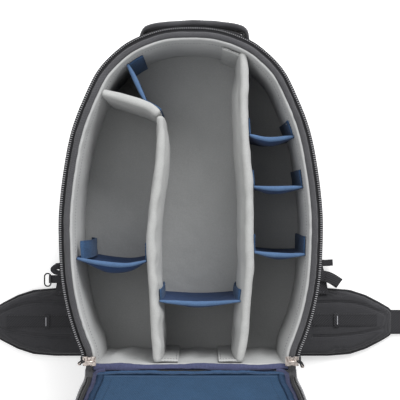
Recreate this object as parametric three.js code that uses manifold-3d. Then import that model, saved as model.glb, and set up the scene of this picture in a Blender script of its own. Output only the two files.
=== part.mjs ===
// An open camera backpack that lies on its back, seen from its packing side.
// X runs across the bag, Y from its foot to its top, Z up from the surface that it lies on.
import * as THREE from "three";
import { mergeVertices } from "three/addons/utils/BufferGeometryUtils.js";
import Module from "manifold-3d";

const wasm = await Module();
wasm.setup();

// Driving sizes, in millimetres
const RIM_WIDTH = 360;
const BAG_LENGTH = 472;
const BODY_DEPTH = 172;
const HARNESS_DEPTH = 20;
const GAP = 0.3; // between two pieces that touch

// Body
const PANEL = 10;
const PANEL_ROUND = 30; // how far the back panel's edge rolls in
const WALL = 8;
const WALL_BULGE = 3.5;
const FOOT_WALL = 5;
const LINING = 5.5;
const FOOT_LINING = 3;
const FLOOR_LINING = 3;
const BINDING_HEIGHT = 4;

// Zip
const ZIP_REACH = 5; // the chain's width outside the wall
const ZIP_HEIGHT = 6;
const ZIP_BELOW_RIM = 2;
const TAPE = 1.2;
const TAPE_HEIGHT = 14;
const SLIDER_LENGTH = 18;
const SLIDER_WIDTH = 12.6;
const SLIDER_HEIGHT = 5;
const PULL_LENGTH = 34;
const PULL_WIDTH = 10;
const PULL_THICK = 4.5;

// Dividers
const GREY_THICK = 12;
const GREY_BELOW_RIM = 4;
const GREY_TAB = 4;
const BLUE_THICK = 6;
const BLUE_BELOW_RIM = 12;
const BLUE_TAB = 2.4;
const TAB_LENGTH = 25;
const TAB_DROP = 4; // a tab's top lies this much below its divider's

// Lid
const LID_DEPTH = 24;
const LID_SLOPE = 38; // degrees below level
const LID_BEND = 150; // radius where the lid meets the surface
const LID_FLOOR = 8;
const LID_WALL = 5;
const LID_BINDING = 5.5;
const LID_PAD = 6;
const HINGE_LIP = 2.5; // how far the hinge strip laps onto the lid
const HINGE_CROWN = 2;

// Carry handle
const HANDLE_SPAN = 147;
const HANDLE_OFF_CENTRE = 4.5;
const HANDLE_REACH = 16.5; // from the bag's top to the middle of the strap
const HANDLE_THICK = 9;
const HANDLE_WIDTH = 38;
const HANDLE_BELOW_RIM = 44;

// Harness
const PAD_WIDTH = 68;
const PAD_LENGTH = 150;
const PAD_SPREAD = 24; // between the two back pads
const PAD_CENTRE = 25; // above the bag's middle
const LUMBAR_WIDTH = 210;
const LUMBAR_LENGTH = 100;
const LUMBAR_BELOW = 172; // its middle below the bag's middle
const PAD_CORNER = 22;
const PAD_EDGE = 5;
const STRAP_WIDTH = 52;
const STRAP_FOOT_BELOW = 50; // its end below the bag's middle
const STRAP_THICK = 12;
const YOKE_WIDTH = 40;
const YOKE_HALF = 44; // its reach to each side of the middle line
const WEBBING = 2.5;
const WEBBING_WIDTH = 20;
const LOCK_LENGTH = 16;
const LOCK_WIDTH = 30;
const LOCK_THICK = 5;
const ANCHOR_REACH = 210; // from the bag's middle line
const ANCHOR_ROOT = 120;
const ANCHOR_WIDTH = 50;
const ANCHOR_THICK = 6;
const ANCHOR_BELOW = 122;
const TAIL_REACH = 227;
const RING_LENGTH = 22;
const RING_WIDTH = 12;
const RING_WIRE = 2.2;

// Hip belt
const WING_REACH = 310;
const WING_HALF = 53;
const WING_THICK = 13;
const WING_BELOW = 190.5;
const BAND_WIDTH = 19.6;
const BAND_REACH = 286;
const BAND_ROOT = 186;
const LOOP_WIDTH = 8;
const LOOP_THICK = 1.6;
const BELT_WIDTH = 38;
const BELT_REACH = 372;
const BUCKLE_LENGTH = 56;
const BUCKLE_WIDTH = 46;
const BUCKLE_THICK = 11;

// Places that follow from the sizes
const RIM_Z = HARNESS_DEPTH + BODY_DEPTH;
const PANEL_TOP = HARNESS_DEPTH + PANEL;
const WALL_FOOT = PANEL_TOP + GAP;
const WALL_TOP = RIM_Z - BINDING_HEIGHT - GAP;
const FLOOR_TOP = WALL_FOOT + FLOOR_LINING;
const WALL_IN = ZIP_REACH + WALL;
const LINING_OUT = WALL_IN + GAP;
const LINING_IN = LINING_OUT + LINING;
const FOOT_LINING_OUT = FOOT_WALL + GAP;
const FOOT_IN = FOOT_LINING_OUT + FOOT_LINING;
const RIM_FOOT = FOOT_IN + GAP; // where the rim's binding and zip end above the foot
const BAG_FOOT = -BAG_LENGTH / 2;
const BAG_TOP = BAG_LENGTH / 2;
const ZIP_TOP = RIM_Z - ZIP_BELOW_RIM;
const ZIP_BOTTOM = ZIP_TOP - ZIP_HEIGHT;
const HARNESS_TOP = HARNESS_DEPTH - GAP;

// The rim from below the foot to the top: up is a share of the length, out a share of half the width.
const RIM_STATIONS = [
  { up: -0.05, out: 0.79 },
  { up: 0, out: 0.812 },
  { up: 0.049, out: 0.83 },
  { up: 0.097, out: 0.878 },
  { up: 0.171, out: 0.937 },
  { up: 0.261, out: 0.981 },
  { up: 0.38, out: 1 },
  { up: 0.463, out: 0.998 },
  { up: 0.596, out: 0.958 },
  { up: 0.703, out: 0.9 },
  { up: 0.798, out: 0.805 },
  { up: 0.876, out: 0.7 },
  { up: 0.933, out: 0.556 },
  { up: 0.963, out: 0.44 },
  { up: 0.993, out: 0.22 },
  { up: 1, out: 0 },
];
const ROWS = 28; // from the foot to the top of one side
const FOOT_ROWS = 8; // the rows that give way so that the first one lies on the foot line

// The outside of the wall: up is a share of its height, bulge a share of the bulge.
const WALL_STATIONS = [
  { up: 0, bulge: 0 },
  { up: 0.19, bulge: 0.7 },
  { up: 0.41, bulge: 1 },
  { up: 0.66, bulge: 0.6 },
  { up: 0.82, bulge: 0 },
  { up: 1, bulge: 0 },
];

// The back panel's edge: up is a share of its thickness, roll a share of the roll.
const PANEL_STATIONS = [
  { up: 0, roll: 1 },
  { up: 0.15, roll: 0.5 },
  { up: 0.6, roll: 0.15 },
  { up: 1, roll: 0 },
];

// Divider routes: across is a share of half the width, up a share of the length from the middle.
const LONG_LEFT = [
  { across: -0.232, up: 0.244 },
  { across: -0.234, up: 0.173 },
  { across: -0.244, up: 0.097 },
  { across: -0.29, up: -0.038 },
  { across: -0.303, up: -0.097 },
  { across: -0.302, up: -0.179 },
  { across: -0.28, up: -0.328 },
  { across: -0.264, up: -0.419 },
  { across: -0.244, up: -0.49 },
];
const LONG_RIGHT = [
  { across: 0.375, up: 0.475 },
  { across: 0.406, up: 0.375 },
  { across: 0.404, up: 0.284 },
  { across: 0.422, up: 0.144 },
  { across: 0.446, up: 0.033 },
  { across: 0.449, up: -0.12 },
  { across: 0.45, up: -0.208 },
  { across: 0.429, up: -0.3 },
  { across: 0.4, up: -0.41 },
  { across: 0.362, up: -0.49 },
];
const GREY_SLANT = [
  { across: -0.78, up: 0.318 },
  { across: -0.582, up: 0.301 },
  { across: -0.453, up: 0.287 },
  { across: -0.325, up: 0.268 },
  { across: -0.232, up: 0.242 },
];
const BLUE_SLANT = [
  { across: -0.53, up: 0.425 },
  { across: -0.448, up: 0.367 },
  { across: -0.398, up: 0.326 },
  { across: -0.325, up: 0.268 },
];
const BLUE_LEFT = [
  { across: -0.95, up: -0.17 },
  { across: -0.721, up: -0.188 },
  { across: -0.571, up: -0.195 },
  { across: -0.467, up: -0.194 },
  { across: -0.302, up: -0.178 },
];
const BLUE_MIDDLE = [
  { across: -0.284, up: -0.3 },
  { across: 0.072, up: -0.309 },
  { across: 0.43, up: -0.3 },
];
const BLUE_RIGHT_TOP = [
  { across: 0.42, up: 0.193 },
  { across: 0.548, up: 0.179 },
  { across: 0.626, up: 0.176 },
  { across: 0.88, up: 0.19 },
];
const BLUE_RIGHT_MID = [
  { across: 0.447, up: 0.037 },
  { across: 0.656, up: 0.031 },
  { across: 0.95, up: 0.038 },
];
const BLUE_RIGHT_LOW = [
  { across: 0.45, up: -0.155 },
  { across: 0.687, up: -0.166 },
  { across: 0.95, up: -0.162 },
];

// The handle's middle line: across is a share of half the span, out a share of the reach past the bag's top.
const HANDLE_STATIONS = [
  { across: -1, out: -1.9 },
  { across: -0.99, out: -0.24 },
  { across: -0.93, out: 0.33 },
  { across: -0.76, out: 0.67 },
  { across: -0.38, out: 0.88 },
  { across: 0, out: 1 },
  { across: 0.38, out: 0.88 },
  { across: 0.76, out: 0.67 },
  { across: 0.93, out: 0.33 },
  { across: 0.99, out: -0.24 },
  { across: 1, out: -1.9 },
];

// The right shoulder strap: across is a share of half the width, up a share of the length from the middle.
const STRAP_STATIONS = [
  { across: 0.2, up: 0.318 },
  { across: 0.3, up: 0.318 },
  { across: 0.46, up: 0.29 },
  { across: 0.61, up: 0.22 },
  { across: 0.66, up: 0.1 },
  { across: 0.64, up: -0.03 },
  { across: 0.62, up: -0.12 },
];

// The right hip wing: along is a share of the way from its root to its tip, half a share of its half width.
const WING_STATIONS = [
  { along: 0, half: 0.95 },
  { along: 0.25, half: 1 },
  { along: 0.52, half: 1 },
  { along: 0.68, half: 0.95 },
  { along: 0.8, half: 0.8 },
  { along: 0.91, half: 0.58 },
  { along: 0.98, half: 0.42 },
  { along: 1, half: 0.36 },
];

// Colours and surfaces
const FINISHES = {
  shell: { color: 0x2b2b2d, roughness: 0.9, metalness: 0 },
  binding: { color: 0x3a3a3c, roughness: 0.85, metalness: 0 },
  wing: { color: 0x242426, roughness: 0.9, metalness: 0 },
  webbing: { color: 0x2a2a2c, roughness: 0.8, metalness: 0 },
  lining: { color: 0xa6a6a8, roughness: 0.95, metalness: 0 },
  blue: { color: 0x2c4a72, roughness: 0.9, metalness: 0 },
  lidBlue: { color: 0x3c5674, roughness: 0.9, metalness: 0 },
  purple: { color: 0x5c5f82, roughness: 0.8, metalness: 0 },
  chain: { color: 0x6a6a6c, roughness: 0.5, metalness: 0.1 },
  silver: { color: 0xc9c6c4, roughness: 0.3, metalness: 1 },
  rubber: { color: 0x1d1d1f, roughness: 0.6, metalness: 0 },
  plastic: { color: 0x1f1f21, roughness: 0.45, metalness: 0 },
};

// Makes a closed body from its corners and triangles, with its faces pointing out.
function closedBody(corners, triangles) {
  let volume = 0;
  for (const [a, b, c] of triangles) {
    volume += corners[a].dot(corners[b].clone().cross(corners[c]));
  }
  const faces = volume < 0 ? triangles.map(([a, b, c]) => [a, c, b]) : triangles;
  const geometry = new THREE.BufferGeometry();
  const places = corners.flatMap((corner) => [corner.x, corner.y, corner.z]);
  geometry.setAttribute("position", new THREE.Float32BufferAttribute(places, 3));
  geometry.setIndex(faces.flat());
  return geometry;
}

// Joins loops of corners, one after the other. With no caps, the last loop joins the first.
function skin(loops, caps = null) {
  const around = loops[0].length;
  const bands = caps ? loops.length - 1 : loops.length;
  const triangles = [];
  for (let i = 0; i < bands; i += 1) {
    const here = i * around;
    const next = ((i + 1) % loops.length) * around;
    for (let j = 0; j < around; j += 1) {
      const k = (j + 1) % around;
      triangles.push([here + j, here + k, next + k]);
      triangles.push([here + j, next + k, next + j]);
    }
  }
  for (const [a, b, c] of caps ?? []) {
    const last = (loops.length - 1) * around;
    triangles.push([c, b, a]);
    triangles.push([a + last, b + last, c + last]);
  }
  return closedBody(loops.flat(), triangles);
}

// Triangles that close a section drawn as {n, z} corners.
function sectionCap(section) {
  const contour = section.map(({ n, z }) => new THREE.Vector2(n, z));
  const faces = THREE.ShapeUtils.triangulateShape(contour, []);
  const reversed = THREE.ShapeUtils.isClockWise(contour);
  return reversed ? faces.map(([a, b, c]) => [a, c, b]) : faces;
}

// The rim's curve on the right side, with one point past the top so that it crosses the middle line level.
const rimPoints = RIM_STATIONS.map(
  ({ up, out }) => new THREE.Vector3((out * RIM_WIDTH) / 2, BAG_FOOT + up * BAG_LENGTH, 0),
);
const pastTop = rimPoints.at(-2).clone();
pastTop.x *= -1;
const rimCurve = new THREE.CatmullRomCurve3([...rimPoints, pastTop], false, "centripetal");
const TOP_SHARE = (rimPoints.length - 1) / rimPoints.length;

// The point at a share of one side, moved in from the rim.
function sidePoint(share, inset) {
  const point = rimCurve.getPoint(share * TOP_SHARE);
  const along = rimCurve.getTangent(share * TOP_SHARE);
  return { x: point.x - inset * along.y, y: point.y + inset * along.x };
}

// The share of one side at which it meets a level line above the foot.
function footShare(inset, foot) {
  let low = 0;
  let high = 0.5;
  for (let i = 0; i < 40; i += 1) {
    const middle = (low + high) / 2;
    if (sidePoint(middle, inset).y < BAG_FOOT + foot) {
      low = middle;
    } else {
      high = middle;
    }
  }
  return high;
}

// The right side's rows from the foot to the top, moved in by inset at the side and foot at the foot.
function sideRows(inset, foot) {
  const start = footShare(inset, foot);
  const rows = [];
  for (let i = 0; i < ROWS; i += 1) {
    const shift = start * Math.max(1 - i / FOOT_ROWS, 0);
    rows.push(sidePoint(i / ROWS + shift, inset));
  }
  rows.push({ x: 0, y: sidePoint(1, inset).y });
  return rows;
}

// One loop around the bag at a height: up the right side and down the left side.
function rimLoop({ inset, foot = inset, z }) {
  const right = sideRows(inset, foot);
  const left = right.slice(0, -1).reverse();
  return [
    ...right.map(({ x, y }) => new THREE.Vector3(x, y, z)),
    ...left.map(({ x, y }) => new THREE.Vector3(-x, y, z)),
  ];
}

// Strips between the right and the left side that close a loop around the bag.
function rimCap() {
  const caps = [];
  const last = 2 * ROWS;
  for (let i = 0; i < ROWS; i += 1) {
    caps.push([i, i + 1, last - i]);
    if (i + 1 < ROWS) {
      caps.push([i + 1, last - i - 1, last - i]);
    }
  }
  return caps;
}

// A slab or a tray with the bag's outline, through levels of {inset, foot, z}.
function rimSlab(levels) {
  return skin(levels.map(rimLoop), rimCap());
}

// A frame all around the bag, whose section is a loop of {inset, foot, z}.
function rimFrame(section) {
  const loops = section.map(rimLoop);
  return skin(loops[0].map((_, i) => loops.map((loop) => loop[i])));
}

// A strip around the sides and the top that ends at the foot, with a section of {inset, z}.
function rimStrip(section, foot) {
  const loops = section.map(({ inset, z }) => rimLoop({ inset, foot, z }));
  const stations = loops[0].map((_, i) => loops.map((loop) => loop[i]));
  return skin(stations, sectionCap(section.map(({ inset, z }) => ({ n: inset, z }))));
}

// Spaced points on a smooth curve through a level route.
function smoothRoute(points, count) {
  const curve = new THREE.CatmullRomCurve3(
    points.map(({ x, y, z = 0 }) => new THREE.Vector3(x, y, z)),
    false,
    "centripetal",
  );
  return curve.getSpacedPoints(count);
}

// A body along a route seen from above. sectionAt gives the {n, z} corners at a share of the way.
function sweep(route, sectionAt) {
  const loops = route.map((point, i) => {
    const before = route[Math.max(i - 1, 0)];
    const after = route[Math.min(i + 1, route.length - 1)];
    const first = new THREE.Vector2(point.x - before.x, point.y - before.y).normalize();
    const second = new THREE.Vector2(after.x - point.x, after.y - point.y).normalize();
    const along = first.clone().add(second).normalize();
    const turn = Math.max(along.dot(i > 0 ? first : second), 0.5);
    const side = new THREE.Vector2(-along.y, along.x).divideScalar(turn);
    return sectionAt(i / (route.length - 1)).map(
      ({ n, z }) => new THREE.Vector3(point.x + side.x * n, point.y + side.y * n, (point.z ?? 0) + z),
    );
  });
  return skin(loops, sectionCap(sectionAt(0)));
}

// A flat rectangle's section
function flatSection(width, bottom, thick) {
  return [
    { n: -width / 2, z: bottom },
    { n: width / 2, z: bottom },
    { n: width / 2, z: bottom + thick },
    { n: -width / 2, z: bottom + thick },
  ];
}

// The same body with its corners shared
function merged(geometry) {
  const bare = geometry.clone();
  bare.deleteAttribute("normal");
  bare.deleteAttribute("uv");
  return mergeVertices(bare, 1e-4);
}

// A body whose outline is drawn in the plane across an axis and that runs along that axis.
function prism(outline, axis, from, to) {
  const shape = new THREE.Shape(outline.map(([a, b]) => new THREE.Vector2(a, b)));
  const geometry = new THREE.ExtrudeGeometry(shape, { depth: to - from, bevelEnabled: false });
  geometry.translate(0, 0, from);
  const x = new THREE.Vector3(1, 0, 0);
  const y = new THREE.Vector3(0, 1, 0);
  const z = new THREE.Vector3(0, 0, 1);
  const frames = { x: [y, z, x], y: [z, x, y], z: [x, y, z] };
  return merged(geometry.applyMatrix4(new THREE.Matrix4().makeBasis(...frames[axis])));
}

// A block between two corners
function block(low, high) {
  const size = high.map((value, i) => value - low[i]);
  const geometry = new THREE.BoxGeometry(...size);
  return merged(geometry.translate(...high.map((value, i) => (value + low[i]) / 2)));
}

// A solid for cuts and joins
function solidOf(geometry) {
  return new wasm.Manifold(
    new wasm.Mesh({
      numProp: 3,
      vertProperties: new Float32Array(geometry.getAttribute("position").array),
      triVerts: new Uint32Array(geometry.index.array),
    }),
  );
}

// The geometry of a solid
function geometryOf(solid) {
  const { vertProperties, triVerts } = solid.getMesh();
  const geometry = new THREE.BufferGeometry();
  geometry.setAttribute("position", new THREE.BufferAttribute(vertProperties, 3));
  geometry.setIndex(new THREE.BufferAttribute(triVerts, 1));
  return geometry;
}

// The same shape on the bag's left side
function mirrored(geometry) {
  const index = Array.from(geometry.index.array);
  const copy = geometry.clone().scale(-1, 1, 1);
  for (let i = 0; i < index.length; i += 3) {
    [index[i + 1], index[i + 2]] = [index[i + 2], index[i + 1]];
  }
  copy.setIndex(index);
  return copy;
}

const bag = new THREE.Group();

// Adds a named piece with a material of its own.
function add(name, finish, geometry) {
  const shaded = geometry.toNonIndexed();
  shaded.computeVertexNormals();
  const mesh = new THREE.Mesh(shaded, new THREE.MeshStandardMaterial(FINISHES[finish]));
  mesh.name = name;
  bag.add(mesh);
}

// Adds a piece and its mirror image.
function addPair(name, finish, geometry) {
  add(`${name}_right`, finish, geometry);
  add(`${name}_left`, finish, mirrored(geometry));
}

// Body
function wallLevels(grow) {
  const height = WALL_TOP - WALL_FOOT;
  return WALL_STATIONS.map(({ up, bulge }) => ({
    inset: ZIP_REACH - bulge * WALL_BULGE - grow,
    foot: -bulge * WALL_BULGE - grow,
    z: WALL_FOOT + up * height,
  }));
}

function addBody() {
  const panel = PANEL_STATIONS.map(({ up, roll }) => ({
    inset: ZIP_REACH + roll * PANEL_ROUND,
    foot: roll * PANEL_ROUND,
    z: HARNESS_DEPTH + up * PANEL,
  }));
  add("back_panel", "shell", rimSlab(panel));
  const inside = [
    { inset: WALL_IN, foot: FOOT_WALL, z: WALL_TOP },
    { inset: WALL_IN, foot: FOOT_WALL, z: WALL_FOOT },
  ];
  add("side_wall", "shell", rimFrame([...wallLevels(0), ...inside]));
  const crown = BINDING_HEIGHT / 2;
  const binding = [
    { inset: ZIP_REACH, z: WALL_TOP + GAP },
    { inset: ZIP_REACH, z: RIM_Z - crown },
    { inset: ZIP_REACH + crown, z: RIM_Z },
    { inset: WALL_IN - crown, z: RIM_Z },
    { inset: WALL_IN, z: RIM_Z - crown },
    { inset: WALL_IN, z: WALL_TOP + GAP },
  ];
  add("rim_binding", "binding", rimStrip(binding, RIM_FOOT));
  const floorEdge = { inset: LINING_OUT, foot: FOOT_LINING_OUT };
  add("lining_floor", "lining", rimSlab([{ ...floorEdge, z: WALL_FOOT }, { ...floorEdge, z: FLOOR_TOP }]));
  const wallLining = [
    { ...floorEdge, z: FLOOR_TOP + GAP },
    { ...floorEdge, z: WALL_TOP },
    { inset: LINING_IN, foot: FOOT_IN, z: WALL_TOP },
    { inset: LINING_IN, foot: FOOT_IN, z: FLOOR_TOP + GAP },
  ];
  add("lining_wall", "lining", rimFrame(wallLining));
}

// Zip
function addZip() {
  const against = ZIP_REACH - GAP;
  const chain = [
    { inset: 0, z: ZIP_BOTTOM + 1 },
    { inset: 0, z: ZIP_TOP - 1 },
    { inset: 1, z: ZIP_TOP },
    { inset: against, z: ZIP_TOP },
    { inset: against, z: ZIP_BOTTOM },
  ];
  add("zip_chain_body", "chain", rimStrip(chain, RIM_FOOT));
  const tapeTop = ZIP_BOTTOM - GAP;
  const tape = [
    { inset: against - TAPE, z: tapeTop - TAPE_HEIGHT },
    { inset: against - TAPE, z: tapeTop },
    { inset: against, z: tapeTop },
    { inset: against, z: tapeTop - TAPE_HEIGHT },
  ];
  add("zip_tape_body", "binding", rimStrip(tape, RIM_FOOT));
  addPair("zip_slider", "silver", zipSlider());
  addPair("zip_pull", "rubber", zipPull());
}

const SLIDER_Z = RIM_Z + HINGE_CROWN + GAP;
const SLIDER_UP = RIM_FOOT + SLIDER_WIDTH / 3; // from the foot to the slider's middle
const SLIDER_Y = BAG_FOOT + SLIDER_UP;
const CORNER_X = sidePoint(footShare(0, SLIDER_UP + PULL_WIDTH / 2), 0).x;

// The slider lies across the rim's corner, its narrow end outwards, with a bridge for the pull.
function zipSlider() {
  const inner = CORNER_X - SLIDER_LENGTH;
  const half = SLIDER_WIDTH / 2;
  const plan = [
    [inner, SLIDER_Y - half * 0.75],
    [inner + SLIDER_LENGTH * 0.2, SLIDER_Y - half],
    [inner + SLIDER_LENGTH * 0.5, SLIDER_Y - half * 0.9],
    [CORNER_X, SLIDER_Y - half * 0.6],
    [CORNER_X, SLIDER_Y + half * 0.6],
    [inner + SLIDER_LENGTH * 0.5, SLIDER_Y + half * 0.9],
    [inner + SLIDER_LENGTH * 0.2, SLIDER_Y + half],
    [inner, SLIDER_Y + half * 0.75],
  ];
  const plate = solidOf(prism(plan, "z", SLIDER_Z, SLIDER_Z + SLIDER_HEIGHT));
  const bridge = block(
    [inner + SLIDER_LENGTH * 0.25, SLIDER_Y - half * 0.3, SLIDER_Z + SLIDER_HEIGHT - 1],
    [CORNER_X - SLIDER_LENGTH * 0.15, SLIDER_Y + half * 0.3, SLIDER_Z + SLIDER_HEIGHT + 2],
  );
  return geometryOf(plate.add(solidOf(bridge)));
}

// The pull hangs from the slider's outer end, down outside the zip.
function zipPull() {
  const near = CORNER_X + GAP;
  const outer = near + PULL_THICK;
  const top = SLIDER_Z + SLIDER_HEIGHT * 0.8;
  const profile = [
    [top - PULL_LENGTH, near],
    [top - PULL_LENGTH, outer - 1],
    [top - PULL_LENGTH + 3, outer],
    [top - PULL_LENGTH * 0.4, outer],
    [top - PULL_LENGTH * 0.3, outer - 1],
    [top - 1, outer - 1],
    [top, outer - 2],
    [top, near],
  ];
  return prism(profile, "y", SLIDER_Y - PULL_WIDTH / 2, SLIDER_Y + PULL_WIDTH / 2);
}

// Dividers
function dividerRoute(stations, count) {
  const points = stations.map(({ across, up }) => ({ x: (across * RIM_WIDTH) / 2, y: up * BAG_LENGTH }));
  return smoothRoute(points, count);
}

// An upright padded wall with a rounded top, grown on all sides by a clearance.
function dividerBody(stations, count, thick, top, grow = 0) {
  const half = thick / 2 + grow;
  const round = thick / 2;
  const section = [
    { n: -half, z: FLOOR_TOP + GAP - grow },
    { n: half, z: FLOOR_TOP + GAP - grow },
    { n: half, z: top - round + grow },
    { n: half * 0.6, z: top + grow },
    { n: -half * 0.6, z: top + grow },
    { n: -half, z: top - round + grow },
  ];
  return solidOf(sweep(dividerRoute(stations, count), () => section));
}

// The space inside the lining, less a margin
function cavity(margin) {
  const edge = { inset: LINING_IN + margin, foot: FOOT_IN + margin };
  return solidOf(rimSlab([{ ...edge, z: HARNESS_DEPTH }, { ...edge, z: RIM_Z + BODY_DEPTH }]));
}

// A region in plan, from shares of half the width and of the length, for the height of a tab.
function tabRegion({ across, up }, top) {
  const [left, right] = across.map((share) => (share * RIM_WIDTH) / 2);
  const [low, high] = up.map((share) => share * BAG_LENGTH);
  return solidOf(block([left, low, FLOOR_TOP + GAP], [right, high, top]));
}

const GREY_TOP = RIM_Z - GREY_BELOW_RIM;
const BLUE_TOP = RIM_Z - BLUE_BELOW_RIM;
const LONG_STEPS = 15;
const SHORT_STEPS = 6;

// A thin layer that lies on both faces of a grey divider.
function dividerLayer(stations, count, thick) {
  const outer = dividerBody(stations, count, GREY_THICK, GREY_TOP, GAP + thick);
  return outer.subtract(dividerBody(stations, count, GREY_THICK, GREY_TOP, GAP));
}

function addDividers() {
  const inside = cavity(GAP);
  const liningLayer = (thick) => inside.subtract(cavity(GAP + thick));
  const left = dividerBody(LONG_LEFT, LONG_STEPS, GREY_THICK, GREY_TOP);
  const right = dividerBody(LONG_RIGHT, LONG_STEPS, GREY_THICK, GREY_TOP);
  const slant = dividerBody(GREY_SLANT, SHORT_STEPS, GREY_THICK, GREY_TOP);
  const nearLeft = dividerBody(LONG_LEFT, LONG_STEPS, GREY_THICK, GREY_TOP, GAP);
  const nearRight = dividerBody(LONG_RIGHT, LONG_STEPS, GREY_THICK, GREY_TOP, GAP);
  const nearSlant = dividerBody(GREY_SLANT, SHORT_STEPS, GREY_THICK, GREY_TOP, GAP);

  const greyTab = liningLayer(GREY_TAB);
  const greyTabTop = GREY_TOP - TAB_DROP;
  const leftFoot = { across: [-0.25, -0.098], up: [-0.5, -0.43] };
  const rightFoot = { across: [0.217, 0.39], up: [-0.5, -0.43] };
  const rightHead = { across: [0.233, 0.4], up: [0.4, 0.5] };
  const footTab = greyTab.intersect(tabRegion(leftFoot, greyTabTop));
  add("divider_long_left", "lining", geometryOf(left.add(footTab).intersect(inside)));
  const ends = greyTab.intersect(tabRegion(rightFoot, greyTabTop).add(tabRegion(rightHead, greyTabTop)));
  add("divider_long_right", "lining", geometryOf(right.add(ends).intersect(inside)));
  add("divider_grey_slant", "lining", geometryOf(slant.intersect(inside).subtract(nearLeft)));

  const onLining = liningLayer(BLUE_TAB);
  const onLeft = dividerLayer(LONG_LEFT, LONG_STEPS, BLUE_TAB);
  const onRight = dividerLayer(LONG_RIGHT, LONG_STEPS, BLUE_TAB);
  const onSlant = dividerLayer(GREY_SLANT, SHORT_STEPS, BLUE_TAB);
  const neighbours = nearLeft.add(nearRight).add(nearSlant);
  const tabUp = TAB_LENGTH / BAG_LENGTH;

  // Each blue divider's tabs turn up along the walls at its two ends.
  const upFrom = (up) => [up, up + tabUp];
  const blues = [
    {
      name: "divider_blue_slant",
      route: BLUE_SLANT,
      tabs: [
        { layer: onLining, across: [-0.53, -0.37], up: [0.37, 0.47] },
        { layer: onSlant, across: [-0.325, -0.205], up: [0.2555, 0.3] },
      ],
    },
    {
      name: "divider_blue_left",
      route: BLUE_LEFT,
      tabs: [
        { layer: onLining, across: [-1, -0.8], up: upFrom(-0.178) },
        { layer: onLeft, across: [-0.4, -0.303], up: upFrom(-0.18) },
      ],
    },
    {
      name: "divider_blue_middle",
      route: BLUE_MIDDLE,
      tabs: [
        { layer: onLeft, across: [-0.284, -0.2], up: upFrom(-0.302) },
        { layer: onRight, across: [0.3, 0.43], up: upFrom(-0.302) },
      ],
    },
    {
      name: "divider_blue_right_top",
      route: BLUE_RIGHT_TOP,
      tabs: [
        { layer: onRight, across: [0.42, 0.5], up: upFrom(0.189) },
        { layer: onLining, across: [0.7, 1], up: upFrom(0.184) },
      ],
    },
    {
      name: "divider_blue_right_mid",
      route: BLUE_RIGHT_MID,
      tabs: [
        { layer: onRight, across: [0.447, 0.53], up: upFrom(0.035) },
        { layer: onLining, across: [0.7, 1], up: upFrom(0.035) },
      ],
    },
    {
      name: "divider_blue_right_low",
      route: BLUE_RIGHT_LOW,
      tabs: [
        { layer: onRight, across: [0.45, 0.53], up: upFrom(-0.157) },
        { layer: onLining, across: [0.7, 1], up: upFrom(-0.163) },
      ],
    },
  ];
  for (const { name, route, tabs } of blues) {
    let divider = dividerBody(route, SHORT_STEPS, BLUE_THICK, BLUE_TOP);
    for (const { layer, ...region } of tabs) {
      divider = divider.add(layer.intersect(tabRegion(region, BLUE_TOP - TAB_DROP)));
    }
    divider = divider.intersect(inside).subtract(neighbours);
    add(name, "blue", geometryOf(largest(divider)));
  }
}

// The biggest of the bodies that a cut leaves
function largest(solid) {
  const parts = solid.decompose();
  return parts.reduce((best, part) => (part.volume() > best.volume() ? part : best));
}

// Lid: a tray drawn flat with the bag's outline, its opening up, and then bent down from the hinge.
const HINGE_Y = BAG_FOOT - GAP;
const SLOPE = THREE.MathUtils.degToRad(LID_SLOPE);
const SLOPE_DOWN = RIM_Z - LID_DEPTH * Math.cos(SLOPE) - LID_BEND * (1 - Math.cos(SLOPE));
const SLOPE_LENGTH = SLOPE_DOWN / Math.sin(SLOPE);
const BEND_LENGTH = LID_BEND * SLOPE;

// The place of a point that lies along the lid from the hinge, at a height above the lid's outer face.
function lidPlace(x, along, height) {
  const bent = THREE.MathUtils.clamp(along - SLOPE_LENGTH, 0, BEND_LENGTH);
  const sloped = Math.min(along, SLOPE_LENGTH);
  const level = Math.max(along - SLOPE_LENGTH - BEND_LENGTH, 0);
  const angle = SLOPE - bent / LID_BEND;
  const startY = HINGE_Y + LID_DEPTH * Math.sin(SLOPE);
  const startZ = RIM_Z - LID_DEPTH * Math.cos(SLOPE);
  const y = sloped * Math.cos(SLOPE) + LID_BEND * (Math.sin(SLOPE) - Math.sin(angle)) + level;
  const z = sloped * Math.sin(SLOPE) + LID_BEND * (Math.cos(angle) - Math.cos(SLOPE));
  return [x, startY - y - height * Math.sin(angle), startZ - z + height * Math.cos(angle)];
}

// Bends a lid piece into place and trims it where it meets the foot wall.
function bentLid(geometry) {
  const bent = geometry.clone();
  const position = bent.getAttribute("position");
  for (let i = 0; i < position.count; i += 1) {
    const along = position.getY(i) - BAG_FOOT;
    position.setXYZ(i, ...lidPlace(position.getX(i), along, position.getZ(i)));
  }
  const index = Array.from(bent.index.array);
  for (let i = 0; i < index.length; i += 3) {
    [index[i + 1], index[i + 2]] = [index[i + 2], index[i + 1]];
  }
  bent.setIndex(index);
  const behind = block([-RIM_WIDTH, HINGE_Y, 0], [RIM_WIDTH, BAG_TOP, RIM_Z * 2]);
  return geometryOf(solidOf(bent).subtract(solidOf(behind)));
}

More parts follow.
